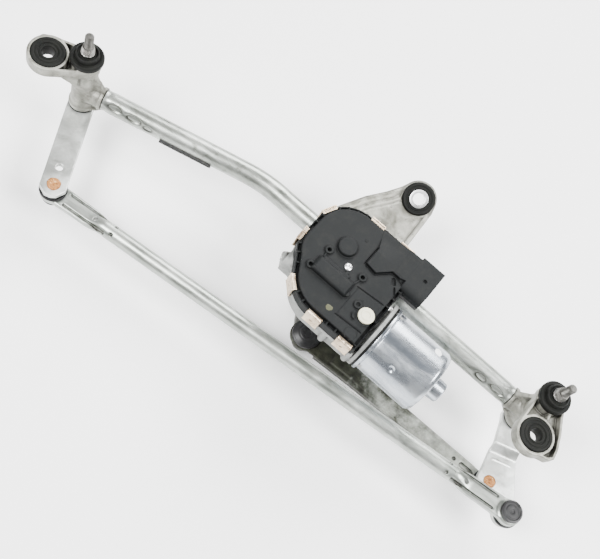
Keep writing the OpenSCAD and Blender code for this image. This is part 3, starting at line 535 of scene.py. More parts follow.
M = {
    "tube": worn_metal("galvanised_tube", (0.46, 0.48, 0.45), (0.22, 0.235, 0.21), (0.06, 0.06, 0.042),
                       0.85, (0.26, 0.42), 30, 500, 0.3, 0.65, 0.92, (1, 3, 3, 8)),
    "foam": moulded("foam_strip", (0.012, 0.012, 0.012), (0.03, 0.03, 0.03), (0.85, 0.95), 120, 900, 0.7),
    "cast": worn_metal("cast_aluminium", (0.35, 0.348, 0.31), (0.14, 0.138, 0.115), (0.035, 0.032, 0.022),
                       0.6, (0.38, 0.58), 70, 700, 0.45, 0.65, 1.0),
    "cast_dark": worn_metal("housing_casting", (0.29, 0.295, 0.285), (0.17, 0.175, 0.168),
                            (0.055, 0.052, 0.042), 0.5, (0.45, 0.65), 70, 800, 0.5, 0.5, 0.9),
    "bronze": worn_metal("bronze", (0.55, 0.38, 0.17), (0.38, 0.25, 0.10), (0.12, 0.08, 0.04), 0.9,
                         (0.35, 0.5)),
    "rubber": moulded("black_rubber", (0.0035, 0.0038, 0.0034), (0.0075, 0.008, 0.0068), (0.5, 0.7), 90,
                      1300, 0.35, gloss=0.12, dust=0.16, dust_colour=(0.022, 0.021, 0.017)),
    "sleeve": worn_metal("sleeve_steel", (0.86, 0.86, 0.86), (0.7, 0.7, 0.7), (0.35, 0.33, 0.3), 0.85,
                         (0.2, 0.35), 90, 700, 0.1, 0.15, 0.3),
    "screw": worn_metal("screw_steel", (0.45, 0.45, 0.43), (0.26, 0.26, 0.25), (0.1, 0.085, 0.06), 0.9,
                        (0.28, 0.45)),
    "cover": moulded("cover_plastic", (0.006, 0.0068, 0.007), (0.0102, 0.011, 0.0112), (0.5, 0.66), 40,
                     1700, 0.3, gloss=0.11, dust=0.22, dust_colour=(0.027, 0.026, 0.022)),
    "clip": worn_metal("clip_steel", (0.70, 0.58, 0.44), (0.42, 0.31, 0.21), (0.17, 0.10, 0.06), 0.85,
                       (0.2, 0.36), 110, 600, 0.12, 0.3, 0.5),
    "cream": moulded("cream_plastic", (0.62, 0.59, 0.43), (0.70, 0.68, 0.53), (0.4, 0.5), 160, 900, 0.08,
                     dust=0.12, dust_colour=(0.42, 0.38, 0.25)),
    "board": moulded("board_green", (0.02, 0.11, 0.04), (0.03, 0.16, 0.06), (0.35, 0.5), 200, 900, 0.1),
    "brass": worn_metal("pin_brass", (0.78, 0.62, 0.28), (0.6, 0.45, 0.18), (0.2, 0.14, 0.06), 0.95,
                        (0.2, 0.35)),
    "can": worn_metal("can_steel", (0.50, 0.53, 0.56), (0.26, 0.29, 0.33), (0.14, 0.15, 0.15), 0.9,
                      (0.2, 0.34), 26, 300, 0.1, 0.3, 0.5, (1, 4, 4, -HEADING)),
    "ferrite": moulded("ferrite", (0.04, 0.04, 0.045), (0.07, 0.07, 0.075), (0.6, 0.8), 100, 900, 0.4),
    "brown": moulded("brown_plastic", (0.12, 0.06, 0.03), (0.17, 0.09, 0.045), (0.45, 0.6), 100, 900, 0.2),
    "carbon": moulded("carbon", (0.02, 0.02, 0.02), (0.04, 0.04, 0.04), (0.6, 0.8), 150, 900, 0.4),
    "shaft": worn_metal("shaft_steel", (0.50, 0.49, 0.47), (0.28, 0.27, 0.255), (0.1, 0.085, 0.065), 0.95,
                        (0.22, 0.4), 140, 700, 0.15, 0.45, 0.6),
    "core": worn_metal("core_steel", (0.32, 0.32, 0.33), (0.2, 0.2, 0.21), (0.08, 0.07, 0.06), 0.9,
                       (0.35, 0.5)),
    "copper": worn_metal("copper", (0.72, 0.33, 0.14), (0.5, 0.2, 0.08), (0.2, 0.08, 0.03), 0.95,
                         (0.25, 0.4)),
    "wheel": moulded("wheel_plastic", (0.66, 0.64, 0.56), (0.75, 0.73, 0.66), (0.35, 0.5), 90, 900, 0.1),
    "crank": worn_metal("crank_steel", (0.17, 0.17, 0.16), (0.09, 0.09, 0.085), (0.05, 0.04, 0.03), 0.7,
                        (0.42, 0.62), 80, 600, 0.35, 0.5, 0.8),
    "zinc": worn_metal("lever_zinc", (0.76, 0.78, 0.76), (0.36, 0.37, 0.35), (0.11, 0.105, 0.07), 0.65,
                       (0.28, 0.44), 42, 600, 0.15, 0.3, 0.8),
    "rod": worn_metal("rod_zinc", (0.44, 0.46, 0.43), (0.24, 0.26, 0.235), (0.09, 0.092, 0.07), 0.8,
                      (0.27, 0.42), 34, 520, 0.2, 0.35, 0.95, (1, 3, 3, 0)),
    "black": moulded("black_plastic", (0.005, 0.005, 0.0055), (0.011, 0.011, 0.0115), (0.34, 0.5), 120,
                     1200, 0.15, gloss=0.35, dust=0.16, dust_colour=(0.03, 0.028, 0.024)),
    "thread": worn_metal("thread_steel", (0.15, 0.147, 0.138), (0.08, 0.078, 0.07), (0.04, 0.034, 0.024),
                         0.8, (0.35, 0.5), 160, 700, 0.2, 0.5, 0.6),
    "white_paint": moulded("white_paint", (0.80, 0.81, 0.80), (0.90, 0.90, 0.89), (0.4, 0.55), 300, 900,
                           0.1, dust=0.2, dust_colour=(0.6, 0.6, 0.58)),
    "olive_paint": moulded("olive_paint", (0.05, 0.052, 0.026), (0.062, 0.062, 0.032), (0.5, 0.6), 300, 900,
                           0.1, dust=0.2, dust_colour=(0.1, 0.1, 0.08)),
}


def rusty():
    g = Graph("rusty_steel")
    patch = g.noise(420, 6, 0.65, distort=0.5)
    col = g.ramp(patch, [(0.3, (0.07, 0.025, 0.007)), (0.46, (0.27, 0.10, 0.022)),
                         (0.6, (0.42, 0.20, 0.06)), (0.75, (0.6, 0.45, 0.28))])
    g.bump(patch, 0.6, 0.0003)
    return g.finish(col, 0.35, g.spread(patch, 0.3, 0.7, 0.75, 0.4))


def greasy_rod():
    """Near black and greasy at the crank, cleaner at the lever; "clean" is 0 to 1 along the rod."""
    g = Graph("dark_rod")
    big = g.noise(60, 6, 0.65)
    silver = g.mix(g.spread(big, 0.35, 0.65, 0.0, 1.0), (0.17, 0.178, 0.155), (0.34, 0.355, 0.32))
    oily = g.mix(g.spread(g.noise(150, 6, 0.7), 0.35, 0.65, 0.0, 1.0), (0.009, 0.009, 0.006),
                 (0.034, 0.036, 0.024))
    clean = g.maths("ADD", g.attribute("clean"), g.spread(g.noise(45, 5, 0.7), 0.3, 0.7, -0.35, 0.35))
    col = g.mix(g.spread(clean, 0.35, 0.85, 0.0, 1.0), oily, silver)
    # painted shade: enclosed points are painted near black
    hollow = g.spread(g.attribute("enclosed"), 0.15, 0.7, 0.0, 0.9)
    col = g.mix(hollow, col, (0.02, 0.02, 0.016))
    g.bump(g.noise(400, 6, 0.7), 0.35)
    return g.finish(col, 0.55, g.spread(big, 0.3, 0.7, 0.35, 0.6))


M["rust"] = rusty()
M["dark_rod"] = greasy_rod()

# materials and small bevels for the CAD nodes that stay as they are
KEPT = {
    "bronze": "left_bushes right_bushes output_bush rear_bearing", "rubber": "cover_gasket",
    "screw": "bracket_screws thrust_screw can_screws left_clip right_clip", "board": "circuit_board",
    "brass": "connector_pins", "ferrite": "magnets", "brown": "brush_holder", "carbon": "brushes",
    "shaft": "front_bearing armature_shaft worm output_shaft", "core": "armature_core",
    "copper": "windings commutator", "wheel": "worm_wheel",
}
for finish_name, node_names in KEPT.items():
    for node in node_names.split():
        ob = frame["nodes"][node]
        ob.data.materials.clear()
        ob.data.materials.append(M[finish_name])
        soft = ob.modifiers.new("edges", "BEVEL")
        soft.width, soft.segments, soft.limit_method, soft.angle_limit = 0.00025, 2, "ANGLE", 0.6

# ---------------------------------------------------------------- frame tube
def tube_path(step):
    """Points and headings along the tube's axis, from the left end to the right end."""
    left_dir, right_dir = np.array(cos_sin(LEFT_TUBE_ANGLE)), np.array(cos_sin(RIGHT_TUBE_ANGLE))
    bend = LEFT_TUBE_ANGLE - RIGHT_TUBE_ANGLE
    back = BEND_R * math.tan(math.radians(bend / 2))
    a, b = left_dir * TUBE_START, BEND - left_dir * back
    c, d = BEND + right_dir * back, np.array([RIGHT, 0]) - right_dir * TUBE_START
    rows = []
    for p, q, deg in ((a, b, LEFT_TUBE_ANGLE), (c, d, RIGHT_TUBE_ANGLE)):
        n = max(2, int(np.linalg.norm(q - p) / step))
        rows.append([(*(p + (q - p) * i / n), deg) for i in range(n + 1)])
    centre = b + BEND_R * np.array([left_dir[1], -left_dir[0]])
    n = 24
    middle = []
    for i in range(1, n):
        h = LEFT_TUBE_ANGLE - bend * i / n
        c, s = cos_sin(h)
        middle.append((centre[0] - BEND_R * s, centre[1] + BEND_R * c, h))
    return np.array(rows[0] + middle + rows[1])


def sweep(path, s, z, radius, angles, inner):
    """A pipe along path, whose points lie at distances s; radius(s, from_end, angles) gives its outside."""
    points, n, sides = [], len(path), len(angles)
    for outside in (True, False):
        for (x, y, h), along in zip(path, s):
            r = radius(along, s[-1] - along, angles) if outside else np.full(sides, inner)
            ny, nx = math.cos(math.radians(h)), -math.sin(math.radians(h))
            points += list(zip(x + nx * r * np.cos(angles), y + ny * r * np.cos(angles),
                    z + r * np.sin(angles)))
    faces = []
    for k in range(n - 1):
        for i in range(sides):
            j = (i + 1) % sides
            faces.append([k * sides + i, k * sides + j, (k + 1) * sides + j, (k + 1) * sides + i])
            m = n * sides
            faces.append([m + k * sides + j, m + k * sides + i, m + (k + 1) * sides + i,
                          m + (k + 1) * sides + j])
    for k, flip in ((0, False), (n - 1, True)):
        for i in range(sides):
            j = (i + 1) % sides
            q = [k * sides + i, n * sides + k * sides + i, n * sides + k * sides + j, k * sides + j]
            faces.append(q[::-1] if flip else q)
    return points, faces


def dent(angle, s, at, half_len, deg, half_deg, depth):
    """A pressed dent with steep walls, at a distance along the tube and an angle round it."""
    da = (np.degrees(angle) - deg + 180) % 360 - 180
    d = np.sqrt(((s - at) / half_len) ** 2 + (da / half_deg) ** 2)
    return depth * (1 / (1 + np.exp((d - 1) * 7)))


def tube_radius(s, back, a):
    # each dent: its place along the tube, half length, angle round it, half width in degrees, depth
    r = np.full(len(a), TUBE_R)
    for at, half, deg, wide, depth in ((12.6, 7, 143, 17, 2.3), (32, 7, 149, 16, 2.4),
            (46.5, 5, 166, 15, 1.9)):
        r -= dent(a, s, at, half, deg, wide, depth)
    for at, half, deg, wide, depth in ((31.4, 8, 148, 28, 0.8), (31.4, 5.5, 148, 18, 1.4),
            (13.2, 7, 142, 17, 2.6)):
        r -= dent(a, back, at, half, deg, wide, depth)
    r -= 0.35 * np.exp(-((s - 3) / 2.0) ** 2) + 0.35 * np.exp(-((back - 3) / 2.0) ** 2)
    return r


path = tube_path(TUBE_STEP)
along = np.r_[0, np.cumsum(np.hypot(np.diff(path[:, 0]), np.diff(path[:, 1])))]
round_the_tube = 2 * np.pi * np.arange(TUBE_SIDES) / TUBE_SIDES
points, faces = sweep(path, along, TUBE_Z, tube_radius, round_the_tube, TUBE_BORE_R)
ob = piece("bent_frame_tube", points, faces, np.eye(4), M["tube"], "frame", ["frame_tube"],
           0.8)
FULL_SHADE_DEPTH = 1.5                           # a dent this deep gets the full painted shade
# painted shade in the dents: the deeper the dent, the darker
sunk = [(TUBE_R - tube_radius(s, along[-1] - s, round_the_tube)) / FULL_SHADE_DEPTH for s in along]
sunk = np.concatenate(sunk + [np.zeros(TUBE_SIDES * len(path))])
give(ob, "enclosed", np.clip(sunk, 0, 1))

STRIP_START, ROWS, COLS = 82, 53, 9       # along the tube in mm, then points along and round it
strip_points, strip_faces = [], []
for i in range(ROWS):
    for layer, r in ((0, 10.1), (1, 12.2)):
        for k in range(COLS):
            a = math.radians(183 + 50 * k / (COLS - 1))
            edge = 0.35 * math.sin(i * 1.9) if layer and k in (0, COLS - 1) else 0
            rr = r - (0.5 if layer and k in (0, COLS - 1) else 0) + edge * 0.4
            strip_points.append((STRIP_START + i, rr * math.cos(a), rr * math.sin(a)))
for i in range(ROWS - 1):
    for k in range(COLS - 1):
        p = i * 2 * COLS + k
        strip_faces.append([p + COLS, p + COLS + 1, p + 3 * COLS + 1, p + 3 * COLS])
        strip_faces.append([p, p + 2 * COLS, p + 2 * COLS + 1, p + 1])
    for k in (0, COLS - 1):
        p = i * 2 * COLS + k
        strip_faces.append([p, p + COLS, p + 3 * COLS, p + 2 * COLS])
for i in (0, ROWS - 1):
    for k in range(COLS - 1):
        p = i * 2 * COLS + k
        strip_faces.append([p, p + 1, p + COLS + 1, p + COLS])
piece("foam_strip", strip_points, strip_faces, move(0, 0, TUBE_Z) @ turn("z", LEFT_TUBE_ANGLE), M["foam"],
      "frame", ["tube_strip"])

# ---------------------------------------------------------------- spindle housings
def housing(ear_angle, reach, neck_angle, outline, flange_side):
    """The barrel stands from 5 to 75.6 over the lever plane, and the ear from 59.6 to 70."""
    def shape(x, y, z):
        u, v = turned(x, y, ear_angle)
        p, q = turned(x, y, neck_angle)
        flat = polygon(u, v, outline)
        ring, round_barrel = circle(u, v, reach, 0, 18.1), circle(x, y, 0, 0, 11)
        body = slab(round_barrel, z, 5, 75.6, 1.0)
        body = union(body, disc(x, y, z, 0, 0, 12.3, 5, 10.5, 1.5), k=2.0)
        body = union(body, disc(x, y, z, 0, 0, 12.5, 64, 75.6, 1.2), k=3.0)
        neck = np.maximum(np.hypot(q, z - TUBE_Z) - 10.0, np.maximum(-p, p - 21.9))
        web = np.maximum(np.abs(q) - 2.0, polygon(p, z, [(7, 22), (21.5, 30), (21.5, 37.5), (17, 44),
                (7, 58)]))
        low = np.maximum(np.abs(q - flange_side * 4) - 1.6,
                         polygon(p, z, [(7, 6), (14, 8), (21, 16), (21, 22), (7, 22)]))
        shelf = brick(p, q, z, 6, 20, -9.4, 9.4, 23.4, 26.4, 0.8)
        body = union(body, union(neck, web - 0.3, low - 0.3, shelf, k=1.2), k=2.6)
        ear = union(slab(flat, z, 59.6, 70, 0.9), slab(ring, z, 59.6, 70.2, 0.9), k=1.2)
        for side in (-1, 1):
            rib = np.maximum(np.abs(v - side * 10.6) - 1.5,
                             polygon(u, z, [(5, 47), (10, 48), (reach - 9, 58), (reach - 8, 62), (5, 62)]))
            ear = union(ear, rib - 0.3, k=1.5)
        body = union(body, ear, k=2.2)
        hollow = np.maximum(np.maximum(flat + 2.5, -(ring + 0.2)), -(circle(x, y, 0, 0, 12.8)))
        body = cut(body, slab(hollow, z, 61.4, 80, 0.6), k=0.8)
        body = cut(body, disc(u, v, z, reach, 0, 12.6, 50, 80, 0), k=0.3)
        body = cut(body, disc(u, v, z, reach, 0, MOUNT_SEAT, 67, 80, 0.4),
                   disc(u, v, z, reach, 0, MOUNT_SEAT, 50, 63, 0.4), k=0.3)
        collar = np.maximum(np.hypot(q, z - TUBE_Z) - 10.9, np.abs(p - 19.4) - 1.5)
        body = union(body, collar, k=1.0)
        body = cut(body, brick(p, q, z, 11.5, 16.0, flange_side * 9 - 4, flange_side * 9 + 4, 12, 22.5,
                0.8), k=0.8)
        body = cut(body, np.maximum(np.abs(p - 21.7) - 0.7, 8.9 - np.hypot(q, z - TUBE_Z)))
        spigot = np.maximum(np.hypot(q, z - TUBE_Z) - 8.2, np.maximum(10 - p, p - 30))
        body = union(body, spigot)
        return cut(body, disc(x, y, z, 0, 0, SPINDLE_HOLE, -5, 90, 0))
    return shape


left_outline = belt(12.6, LEFT_REACH, 18.1)
right_outline = [(-12.8, 3), (-11, 11.7), (-3.2, 13.8), (8.6, 16.3), (24.3, 21), (38.1, 23.6), (47.2, 23.4),
                 (51, 19)] + \
    arc(RIGHT_REACH, 0, 18.2, 34, -100, 18) + [(19.4, -15.4), (7.2, -13.6), (-5, -12.3)]
base_left = housing(LEFT_EAR_ANGLE, LEFT_REACH, LEFT_TUBE_ANGLE, left_outline, -1)
base_right = housing(RIGHT_EAR_ANGLE, RIGHT_REACH, RIGHT_TUBE_ANGLE + 180, right_outline, 1)


def left_casting(x, y, z):
    u, v = turned(x, y, LEFT_EAR_ANGLE)
    lump = disc(u, v, z, LEFT_REACH + 6.5, -15.6, 3.3, 59, 69, 1.2)
    d = union(base_left(x, y, z), lump, k=2.0)
    return cut(d, disc(u, v, z, LEFT_REACH, 0, MOUNT_SEAT, 67, 80, 0.4))


def right_casting(x, y, z):
    u, v = turned(x, y, RIGHT_EAR_ANGLE)
    rib = beam(u, v, z, 11, 4.4, RIGHT_REACH - 17, 4.4, 1.2, 58, 69.4, 0.6)
    d = union(base_right(x, y, z), rib, k=1.4)
    return cut(d, disc(u, v, z, RIGHT_REACH, 0, MOUNT_SEAT, 67, 80, 0.4),
               disc(x, y, z, 0, 0, SPINDLE_HOLE, -5, 90, 0))


carve("left_spindle_housing", left_casting, (-50, -36, 3.5), (32, 20, 77), 0.6, np.eye(4), M["cast"],
      "frame", ["left_housing"])
carve("right_spindle_housing", right_casting, (-34, -57.5, 3.5), (31, 17, 77), 0.6, AT_RIGHT, M["cast"],
      "frame", ["right_housing"])

# ---------------------------------------------------------------- seals, caps, rubber mounts
seal = [(5.5, 3.05), (11.8, 3.05), (12.2, 4.0), (11.6, 4.95), (9.4, 4.95), (9.0, 4.4), (7.5, 4.4),
        (7.2, 4.95), (5.5, 4.95)]
cap = [(5.45, 82), (5.45, 79.4), (9.4, 79.4), (9.4, 76.1), (12.8, 76.1), (12.8, 73), (14.9, 72.8, 0.8),
       (15.0, 77.0, 1.2), (13.9, 78.6, 0.8), (11.4, 78.3, 0.4), (11.0, 77.9, 0.3), (10.6, 79.2, 0.5),
       (10.3, 82.4, 0.9), (8.9, 83.3, 0.7), (8.3, 81.8, 0.4), (7.2, 81.4, 0.4), (6.9, 82.6, 0.4)]


def grommet(hole):
    return [(hole, -6.5), (14.0, -6.5, 0.8), (15.48, -5, 0.8), (15.48, -2.05, 0.2), (12.5, -2.05, 0.1),
            (12.5, 2.05, 0.1),
            (15.48, 2.05, 0.2), (15.48, 5.2, 0.8), (14.2, 6.5, 0.6), (12.6, 6.5, 0.4), (12.2, 5.9, 0.3),
            (11.2, 5.9, 0.3),
            (10.8, 6.6, 0.4), (9.4, 6.6, 0.4), (8.9, 5.4, 0.4), (7.9, 5.4, 0.3), (7.5, 6.2, 0.4),
            (hole + 0.6, 6.2, 0.3), (hole, 5.4, 0.3)]


for side, where, ear in (("left", np.eye(4), LEFT_EAR), ("right", AT_RIGHT, RIGHT_EAR)):
    turned_piece(side + "_lip_seal", seal, where, M["rubber"], "frame", [side + "_seal"],
                 0.25)
    turned_piece(side + "_rubber_cap", cap, where, M["rubber"], "frame", [side + "_cap"],
                 0.4)
    turned_piece(side + "_rubber_mount", grommet(5.5), move(*ear), M["rubber"], "frame",
                 [side + "_grommet"],
                 0.4)
wide = [(r, z, *rest) for r, z, *rest in grommet(7.12) if r != 7.9 and r != 7.5]
turned_piece("centre_rubber_mount", wide, AT_CENTRE, M["rubber"], "frame", ["centre_grommet"],
             0.4)
sleeve = [(5.6, -8), (7.08, -8), (7.08, 7.4), (8.6, 7.6), (8.7, 8.0), (5.6, 8.0)]
turned_piece("centre_steel_sleeve", sleeve, AT_CENTRE, M["sleeve"], "frame", ["centre_sleeve"],
             0.2)

# ---------------------------------------------------------------- spindles
def spindle_shape():
    zs = np.linspace(92.2, 105.2, 92)
    rough = [(0, -4.4), (5.6, -4.5), (7.0, -3.4), (7.0, -2.5), (5.0, -2.4), (5.0, 84.5), (6.15, 84.7)]
    knurl = [(6.2 - 1.15 * t, 84.9 + 7.2 * t) for t in np.linspace(0, 1, 9)]
    neck = [(4.4, 92.15)]
    thread = [(4.0, z) for z in zs]
    return rough + knurl + neck + thread + [(3.9, 105.5), (3.1, 106.6), (2.9, 106.9), (0, 107)]


def spindle_warp(r, z, a):
    if 84.8 < z < 92.1:
        saw = abs(((a * 36 / (2 * math.pi)) % 1) * 2 - 1)
        return r - 0.5 * saw, z
    if 92.2 <= z <= 105.3:
        turns = (z - 92.2) / 1.25 - a / (2 * math.pi)
        saw = abs((turns % 1) * 2 - 1)
        fade = min(1, (z - 92.2) / 1.0, max(0, (105.3 - z) / 0.6))
        return r - 0.62 * saw * fade, z
    return r, z


for side, where in (("left", np.eye(4)), ("right", AT_RIGHT)):
    points, faces = lathe(spindle_shape(), 144, spindle_warp)
    ob = piece(side + "_wiper_spindle", points, faces, where, M["shaft"], side + "_arm",
               [side + "_spindle"],
               0.5)
    ob.data.materials.append(M["thread"])
    for face in ob.data.polygons:
        face.material_index = int((face.center.z - HOME[2]) * 1000 > 92.1)

# ---------------------------------------------------------------- levers and ball studs
def left_lever_shape(x, y, z):
    L = LEVER_LEN
    flat = polygon(x, y, [(-9, -8.6), (-4, -12.4), (8, -12.5), (L - 2, -12.0), (L + 4, -12.0),
                          (L + 11.2, -5.4),
                          (L + 12, 0), (L + 10.6, 5.2), (L + 4, 11.9), (8, 12.4), (-4, 12.4), (-9, 8.6),
                          (-12, 0)]) + 0.8
    d = slab(flat - 0.8, z, -2.5, 2.5, 0.55)
    rim = disc(x, y, z, 0, 0, 8.4, 0, 2.9, 0.3)
    d = union(d, rim, k=0.6)
    return cut(d, disc(x, y, z, L - 18, 0, 3.4, -9, 9, 0), disc(x, y, z, 0, 0, LEVER_HOLE, -9, 9, 0),
               k=0.25)


carve("left_crank_lever", left_lever_shape, (-14, -15, -3.4), (LEVER_LEN + 14, 15, 3.6), (0.6, 0.6, 0.35),
      turn("z", LEVER_ANGLE), M["zinc"], "left_arm", ["left_lever"])

MID = LEVER_ANGLE - 9
LOW_TOP, LOW_BOTTOM = -3.5, -8.5


def right_lever_shape(x, y, z):
    # x runs from the spindle along the plate
    t = np.clip((x - 29) / 10, 0, 1)
    zc = z + 6 * t * t * (3 - 2 * t)
    pa = math.radians(PIN_ANGLE - MID)
    ba = math.radians(LEVER_ANGLE - MID)
    pin, ball = (PIN_LEN * math.cos(pa), PIN_LEN * math.sin(pa)), (LEVER_LEN * math.cos(ba),
            LEVER_LEN * math.sin(ba))
    flat = union(circle(x, y, 0, 0, 12.5), polygon(x, y,
            [(0, -12.5), (29, -13), (39, -14), (pin[0], pin[1] - 11.4),
                 (ball[0] + 2, ball[1] - 11), (ball[0] + 2, ball[1] + 11), (39, 14), (29, 13), (0, 12.5)]),
                 circle(x, y, pin[0], pin[1], 11.4), circle(x, y, ball[0], ball[1], 11), k=3.0)
    d = slab(flat, zc, -2.5, 2.5, 0.55)
    crest = beam(x, y, zc, 44, -9, 44, 9, 0.5, 2.2, 2.75, 0.2)
    d = union(d, crest, k=0.5)
    return cut(d, disc(x, y, z, 0, 0, LEVER_HOLE, -20, 9, 0), k=0.25)


carve("right_stepped_lever", right_lever_shape, (-14, -20, -9.5), (LEVER_LEN + 14, 30, 3.5),
      (0.6, 0.6, 0.35), AT_RIGHT @ turn("z", MID), M["zinc"], "right_arm", ["right_lever"])


def stud(length, head):
    ball = [(6 * math.cos(a), 6 * math.sin(a)) for a in np.linspace(-math.pi / 2, 0.95, 22)]
    ball[0] = (0, -6)
    return ball + [(3.48, 6 * math.sin(0.95) + 0.4), (3.48, length - 0.1), (head, length + 0.02),
                   (head, length + 0.7),
                   (head - 1.0, length + 1.7), (head * 0.42, length + 2.0), (head * 0.34, length + 1.7),
                   (0, length + 1.65)]


def stud_piece(name, at, length, head, mat, body, node, down=False):
    where = move(*at) @ (turn("x", 180) if down else np.eye(4))
    bumpy = np.random.default_rng(len(name))
    phase = bumpy.uniform(0, 6.28, 6)

    def warp(r, z, a):
        if z > length and r > 1:
            return r * (1 + 0.02 * math.sin(3 * a + phase[0]) + 0.014 * math.sin(7 * a + phase[1])), z
        return r, z

    points, faces = lathe(stud(length, head), 64, warp)
    piece(name, points, faces, where, mat, body, [node], 0.7)


stud_piece("left_ball_stud", LEFT_BALL, 2.5 + 12.0, 6.2, M["rust"], "left_arm", "left_ball")
stud_piece("right_ball_stud", RIGHT_BALL, RIGHT_BALL[2] - LOW_BOTTOM, 5.5, M["screw"], "right_arm",
           "right_ball",
           True)
stud_piece("pin_ball_stud", PIN, LOW_TOP - PIN[2], 5.9, M["rust"], "right_arm", "lever_pin_ball")
stud_piece("crank_ball_stud", CRANK_BALL, 18.0, 5.5, M["screw"], "crank", "crank_ball", True)

# ---------------------------------------------------------------- long rod
SLOPE = (RIGHT_BALL[2] - LEFT_BALL[2]) / RIGHT


def rod_shape(x, y, z):
    """x runs from the left ball to the right one, and near is the distance to the nearer end."""
    zc = z - LEFT_BALL[2] - SLOPE * np.clip(x, 0, RIGHT)
    from_left, from_right = x, RIGHT - x
    tube = np.hypot(y, zc) - 7.8
    d = tube
    near = np.minimum(from_left, from_right)
    t = np.clip((58 - near) / 18, 0, 1)
    t = t * t * (3 - 2 * t)
    half = 9.4 + 0.5 * np.clip((30 - near) / 20, 0, 1)
    press = slab(np.abs(y) - half, zc, -3.1, 3.1, 1.3)
    d = (1 - t) * tube + t * press
    d = np.maximum(d, 4 - near)
    groove = np.hypot(np.maximum(np.abs(np.abs(y) - 6.2) - 0.3, 0),
                      np.maximum(np.abs(near - 38) - 22, 0)) - 0.9
    d = cut(d, np.maximum(groove, 1.3 - zc), k=0.9)
    d = cut(d, slab(circle(near, np.abs(y), 67, 4.6, 1.5), zc, 4.6, 20, 0.3), k=0.8)
    d = cut(d, np.maximum(groove, 1.3 + zc), k=0.9)
    for cx, cz in ((0.0, LEFT_BALL[2]), (RIGHT, RIGHT_BALL[2])):
        eye = disc(x, y, z, cx, 0, 11.6, cz - 3.1, cz + 3.1, 0.9)
        lip = disc(x, y, z, cx, 0, 10.6, cz - 4.2, cz + 4.2, 0.5)
        d = union(d, union(eye, lip, k=0.8), k=1.6)
        d = cut(d, disc(x, y, z, cx, 0, EYE_HOLE, cz - 30, cz + 30, 0))
    d = cut(d, disc(near, y, zc, 47, 0, 2.1, -20, 20, 0), k=0.5)
    return d


carve("long_drive_rod", rod_shape, (-13, -12.5, -20.5), (RIGHT + 13, 12.5, 14.5), (0.9, 0.55, 0.55),
      move(LEFT_BALL[0], LEFT_BALL[1]), M["rod"], "long_link", ["long_rod"])

cup = [(5.1, 6.3), (5.1, 3.3, 0.1)] + [(6.08 * math.cos(a), 6.08 * math.sin(a),
        0.0) for a in np.linspace(0.55, -1.5, 12)] + \
    [(0, -6.08), (0, -8.1), (2.0, -8.1, 0.3), (2.4, -8.7, 0.3), (5.6, -8.7, 0.3), (6.1, -8.2, 0.3),
     (7.6, -8.2, 0.3),
     (8.2, -8.9, 0.4), (10.0, -8.6, 0.5), (10.3, -7.2, 0.5), (10.2, -6.1, 0.3), (8.8, -5.9, 0.3),
     (8.8, 4.4, 0.2), (12.6, 4.4, 0.4), (12.9, 5.4, 0.4), (12.2, 6.3, 0.4)]


def cup_piece(name, at, body, node, down):
    where = move(*at) @ (turn("x", 180) if down else np.eye(4))
    turned_piece(name, cup, where, M["black"], body, [node], 0.2, 72)


cup_piece("left_rod_socket", LEFT_BALL, "long_link", "long_rod_left_socket", False)
cup_piece("right_rod_socket", RIGHT_BALL, "long_link", "long_rod_right_socket", True)
cup_piece("lever_rod_socket", PIN, "short_link", "short_rod_lever_socket", False)
deep = [(8.2, -8.5), (8.2, 7.2), (0, 7.2), (0, 8.6), (3.2, 8.6), (3.8, 9.3), (6.8, 9.3), (7.4, 8.8),
        (9.0, 8.6, 0.6), (12.0, 6.6, 0.8), (13.9, 6.0), (14.0, 3.1), (11.4, 3.05), (11.4, -8.5)]
turned_piece("crank_rod_socket", deep, move(*CRANK_SOCKET), M["black"], "short_link",
             ["short_rod_crank_socket"],
             0.3, 72)

# ---------------------------------------------------------------- short rod
SPAN = PIN - CRANK_SOCKET
ROD_LEN = math.hypot(SPAN[0], SPAN[1])
ROD_ANGLE = heading(SPAN)


def short_rod_shape(x, y, z):
    """x runs from the crank's socket to the lever's."""
    L = ROD_LEN
    half = 12 - 2.6 * np.clip(x / 60, 0, 1) - 2.0 * np.clip((x - 60) / (L - 60), 0, 1)
    top = slab(np.maximum(np.abs(y) - half, np.abs(x - L / 2) - L / 2), z, 0, 3, 0.9)
    walls = slab(np.maximum(np.abs(np.abs(y) - half + 1.2) - 1.2, np.abs(x - (L + 2) / 2) - (L - 34) / 2),
                 z, -5, 2.6, 0.8)
    ridge = np.hypot(np.maximum(np.abs(y) - half * 0.42, 0), z - 2.2) - 1.3
    ridge = np.maximum(ridge, np.abs(x - L / 2 - 4) - (L / 2 - 30))
    pad = disc(x, y, z, 0, 0, 15, -1, 3, 0.9)
    end = union(disc(x, y, z, L, 0, 11.2, -3, 3, 0.9), disc(x, y, z, L, 0, 10.2, -4, 3.9, 0.5), k=0.8)
    d = union(top, walls, k=1.2)
    d = union(d, ridge, k=1.4)
    d = union(d, pad, end, k=2.0)
    slot = beam(x, y, z, L - 27, 0, L - 16, 0, 2.6, 1.2, 9, 0.3)
    d = cut(d, slot, k=0.5)
    d = cut(d, disc(x, y, z, L - 36, 0, 1.9, 1.6, 9, 0.2), disc(x, y, z, 0, 0, 11.45, -30, 30, 0),
            disc(x, y, z, L, 0, EYE_HOLE, -30, 30, 0))
    return d


ob = carve("short_drive_rod", short_rod_shape, (-17, -16.5, -6.2), (ROD_LEN + 13, 16.5, 5.2),
           (0.7, 0.55, 0.45),
           move(*CRANK_SOCKET) @ turn("z", ROD_ANGLE), M["dark_rod"], "short_link", ["short_rod"])
co = np.zeros(len(ob.data.vertices) * 3)
ob.data.vertices.foreach_get("co", co)
co = (co.reshape(-1, 3) - HOME) * 1000 - CRANK_SOCKET
along = (co[:, 0] * SPAN[0] + co[:, 1] * SPAN[1]) / ROD_LEN ** 2
give(ob, "clean", np.clip(along, 0, 1))

